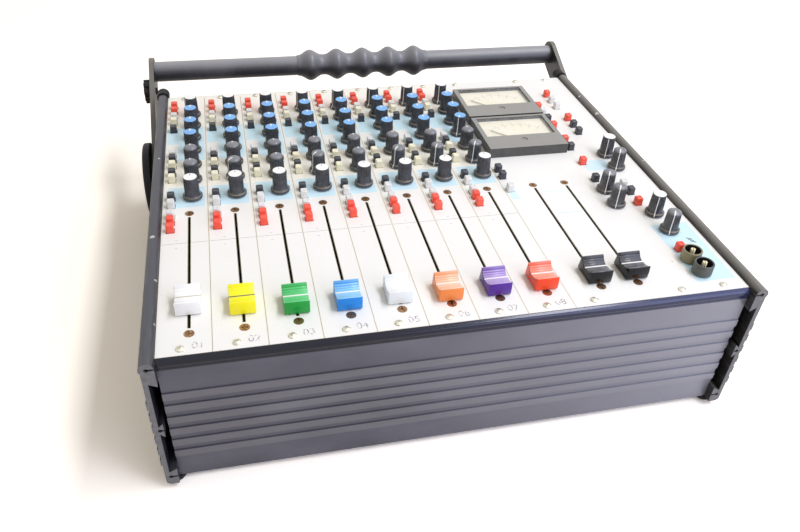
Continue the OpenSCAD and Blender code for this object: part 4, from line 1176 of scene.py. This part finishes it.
# %% Meter scales
METER_DEPTH, PIVOT_IN = 52.5, 12.0
TICK_R, ARC_R, FIGURE_R = 32.0, 30.5, 28.0
SWEEP = 42  # degrees from the middle of a scale to its end
meters_lo, meters_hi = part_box("meter_cases")
dial_z = (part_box("meter_dials")[1].z - TOP) / MM
pivot_x = (off_panel(meters_lo)[0] + off_panel(meters_hi)[0]) / 2
pivots_y = (off_panel(meters_lo)[1] + PIVOT_IN,
            off_panel(meters_hi)[1] - METER_DEPTH + PIVOT_IN)
scale_bars, scale_figures = [], []
for pivot_y in pivots_y:
    for step, angle in enumerate(np.radians(np.linspace(-SWEEP, SWEEP, 7))):
        scale_bars.append((around(pivot_x, pivot_y, TICK_R, angle), (0.5, 3.0), angle))
        x, y = around(pivot_x, pivot_y, FIGURE_R, angle)
        scale_figures.append(figures(str(step + 1), x, y, dial_z + 0.02, 2.6))
    for angle in np.radians(np.linspace(-SWEEP, SWEEP, SWEEP + 1)):
        scale_bars.append((around(pivot_x, pivot_y, ARC_R, angle), (1.2, 0.25), angle))
piece("meter_scale_lines", "case", bars(scale_bars, z=dial_z + 0.005),
      [scale_ink])
flat_print("meter_scale_figures", scale_figures, scale_ink)

# %% [markdown]
# ## Surroundings
# The floor is a plain sheet of warm white paper. To the camera its colour is brighter than
# to the light that bounces off it, so that it reads as white while the console on it is
# lit at a plain level, and it still takes the console's shadow. The sky is white to the
# camera, to mirrors and through glass, and a softer warm grey as a light.

# %% Floor
FLOOR_HALF = 4
FLOOR_TONE = (1.0, 0.955, 0.88)
FLOOR_LEVEL, SEEN_MORE = 0.93, 0.48  # of light that bounces, and more to the camera
floor_mesh = bpy.data.meshes.new("floor")
floor_mesh.from_pydata([(x * FLOOR_HALF, y * FLOOR_HALF, 0)
                        for x, y in ((-1, -1), (1, -1), (1, 1), (-1, 1))],
                       [], [(0, 1, 2, 3)])
floor = in_scene("floor", floor_mesh)
paper = bpy.data.materials.new("white_paper_floor")
tree = empty_tree(paper)
rays = add(tree, "LightPath")
whiter = add(tree, "Math", rays.outputs["Is Camera Ray"], SEEN_MORE, FLOOR_LEVEL,
             operation="MULTIPLY_ADD")
warm = add(tree, "VectorMath", FLOOR_TONE, whiter, operation="SCALE")
matt = add(tree, "BsdfDiffuse", Color=warm)
add(tree, "OutputMaterial", Surface=matt)
floor_mesh.materials.append(paper)

# %% Sky
world = bpy.data.worlds.new("studio")
bpy.context.scene.world = world
tree = empty_tree(world)
rays = add(tree, "LightPath")
seen = 0.0
for ray in ("Is Camera Ray", "Is Glossy Ray", "Is Transmission Ray"):
    seen = add(tree, "Math", seen, rays.outputs[ray], operation="MAXIMUM")
dim = add(tree, "Background", Color="#fff8ee", Strength=0.5)
bright = add(tree, "Background", Color="#ffffff", Strength=1.0)
add(tree, "OutputWorld", Surface=add(tree, "MixShader", seen, dim, bright))

# %% [markdown]
# The main lamp is a long soft box to the right and high up, so that shadows fall to the
# left and are a little under half as long as what casts them is high, and the rounded
# front edge mirrors it as a bright band. A dim blue window stands beyond it, and a cool
# lamp low in front lights the front panel.

# %% Lamps
def soft_lamp(name, place_at, aim, across, along, power, tint):
    """A rectangular area lamp at a place, whose -Z axis points at the aim."""
    data = bpy.data.lights.new(name, "AREA")
    data.shape = "RECTANGLE"
    data.size, data.size_y = across, along
    data.energy = power
    data.color = srgb(tint)[:3]
    back = np.asarray(place_at, float) - aim
    back /= np.linalg.norm(back)
    side = np.cross([0, 1, 0], back)
    side /= np.linalg.norm(side)
    return set_up(name, data, side, np.cross(back, side), back, place_at)


soft_lamp("key", (0.8, -0.3, 1.8), (0, 0, 0.05), 0.34, 1.7, 23.6, "#fafbff")
soft_lamp("window", (1.35, -0.3, 1.6), (0, 0, 0.05), 0.5, 1.8, 5.0, "#aebcff")
soft_lamp("front_fill", (0.66, -1.0, 0.55), (0.05, -0.15, 0.05), 0.8, 0.8, 6.0, "#d8dfff")
bpy.context.scene.view_settings.view_transform = "Standard"
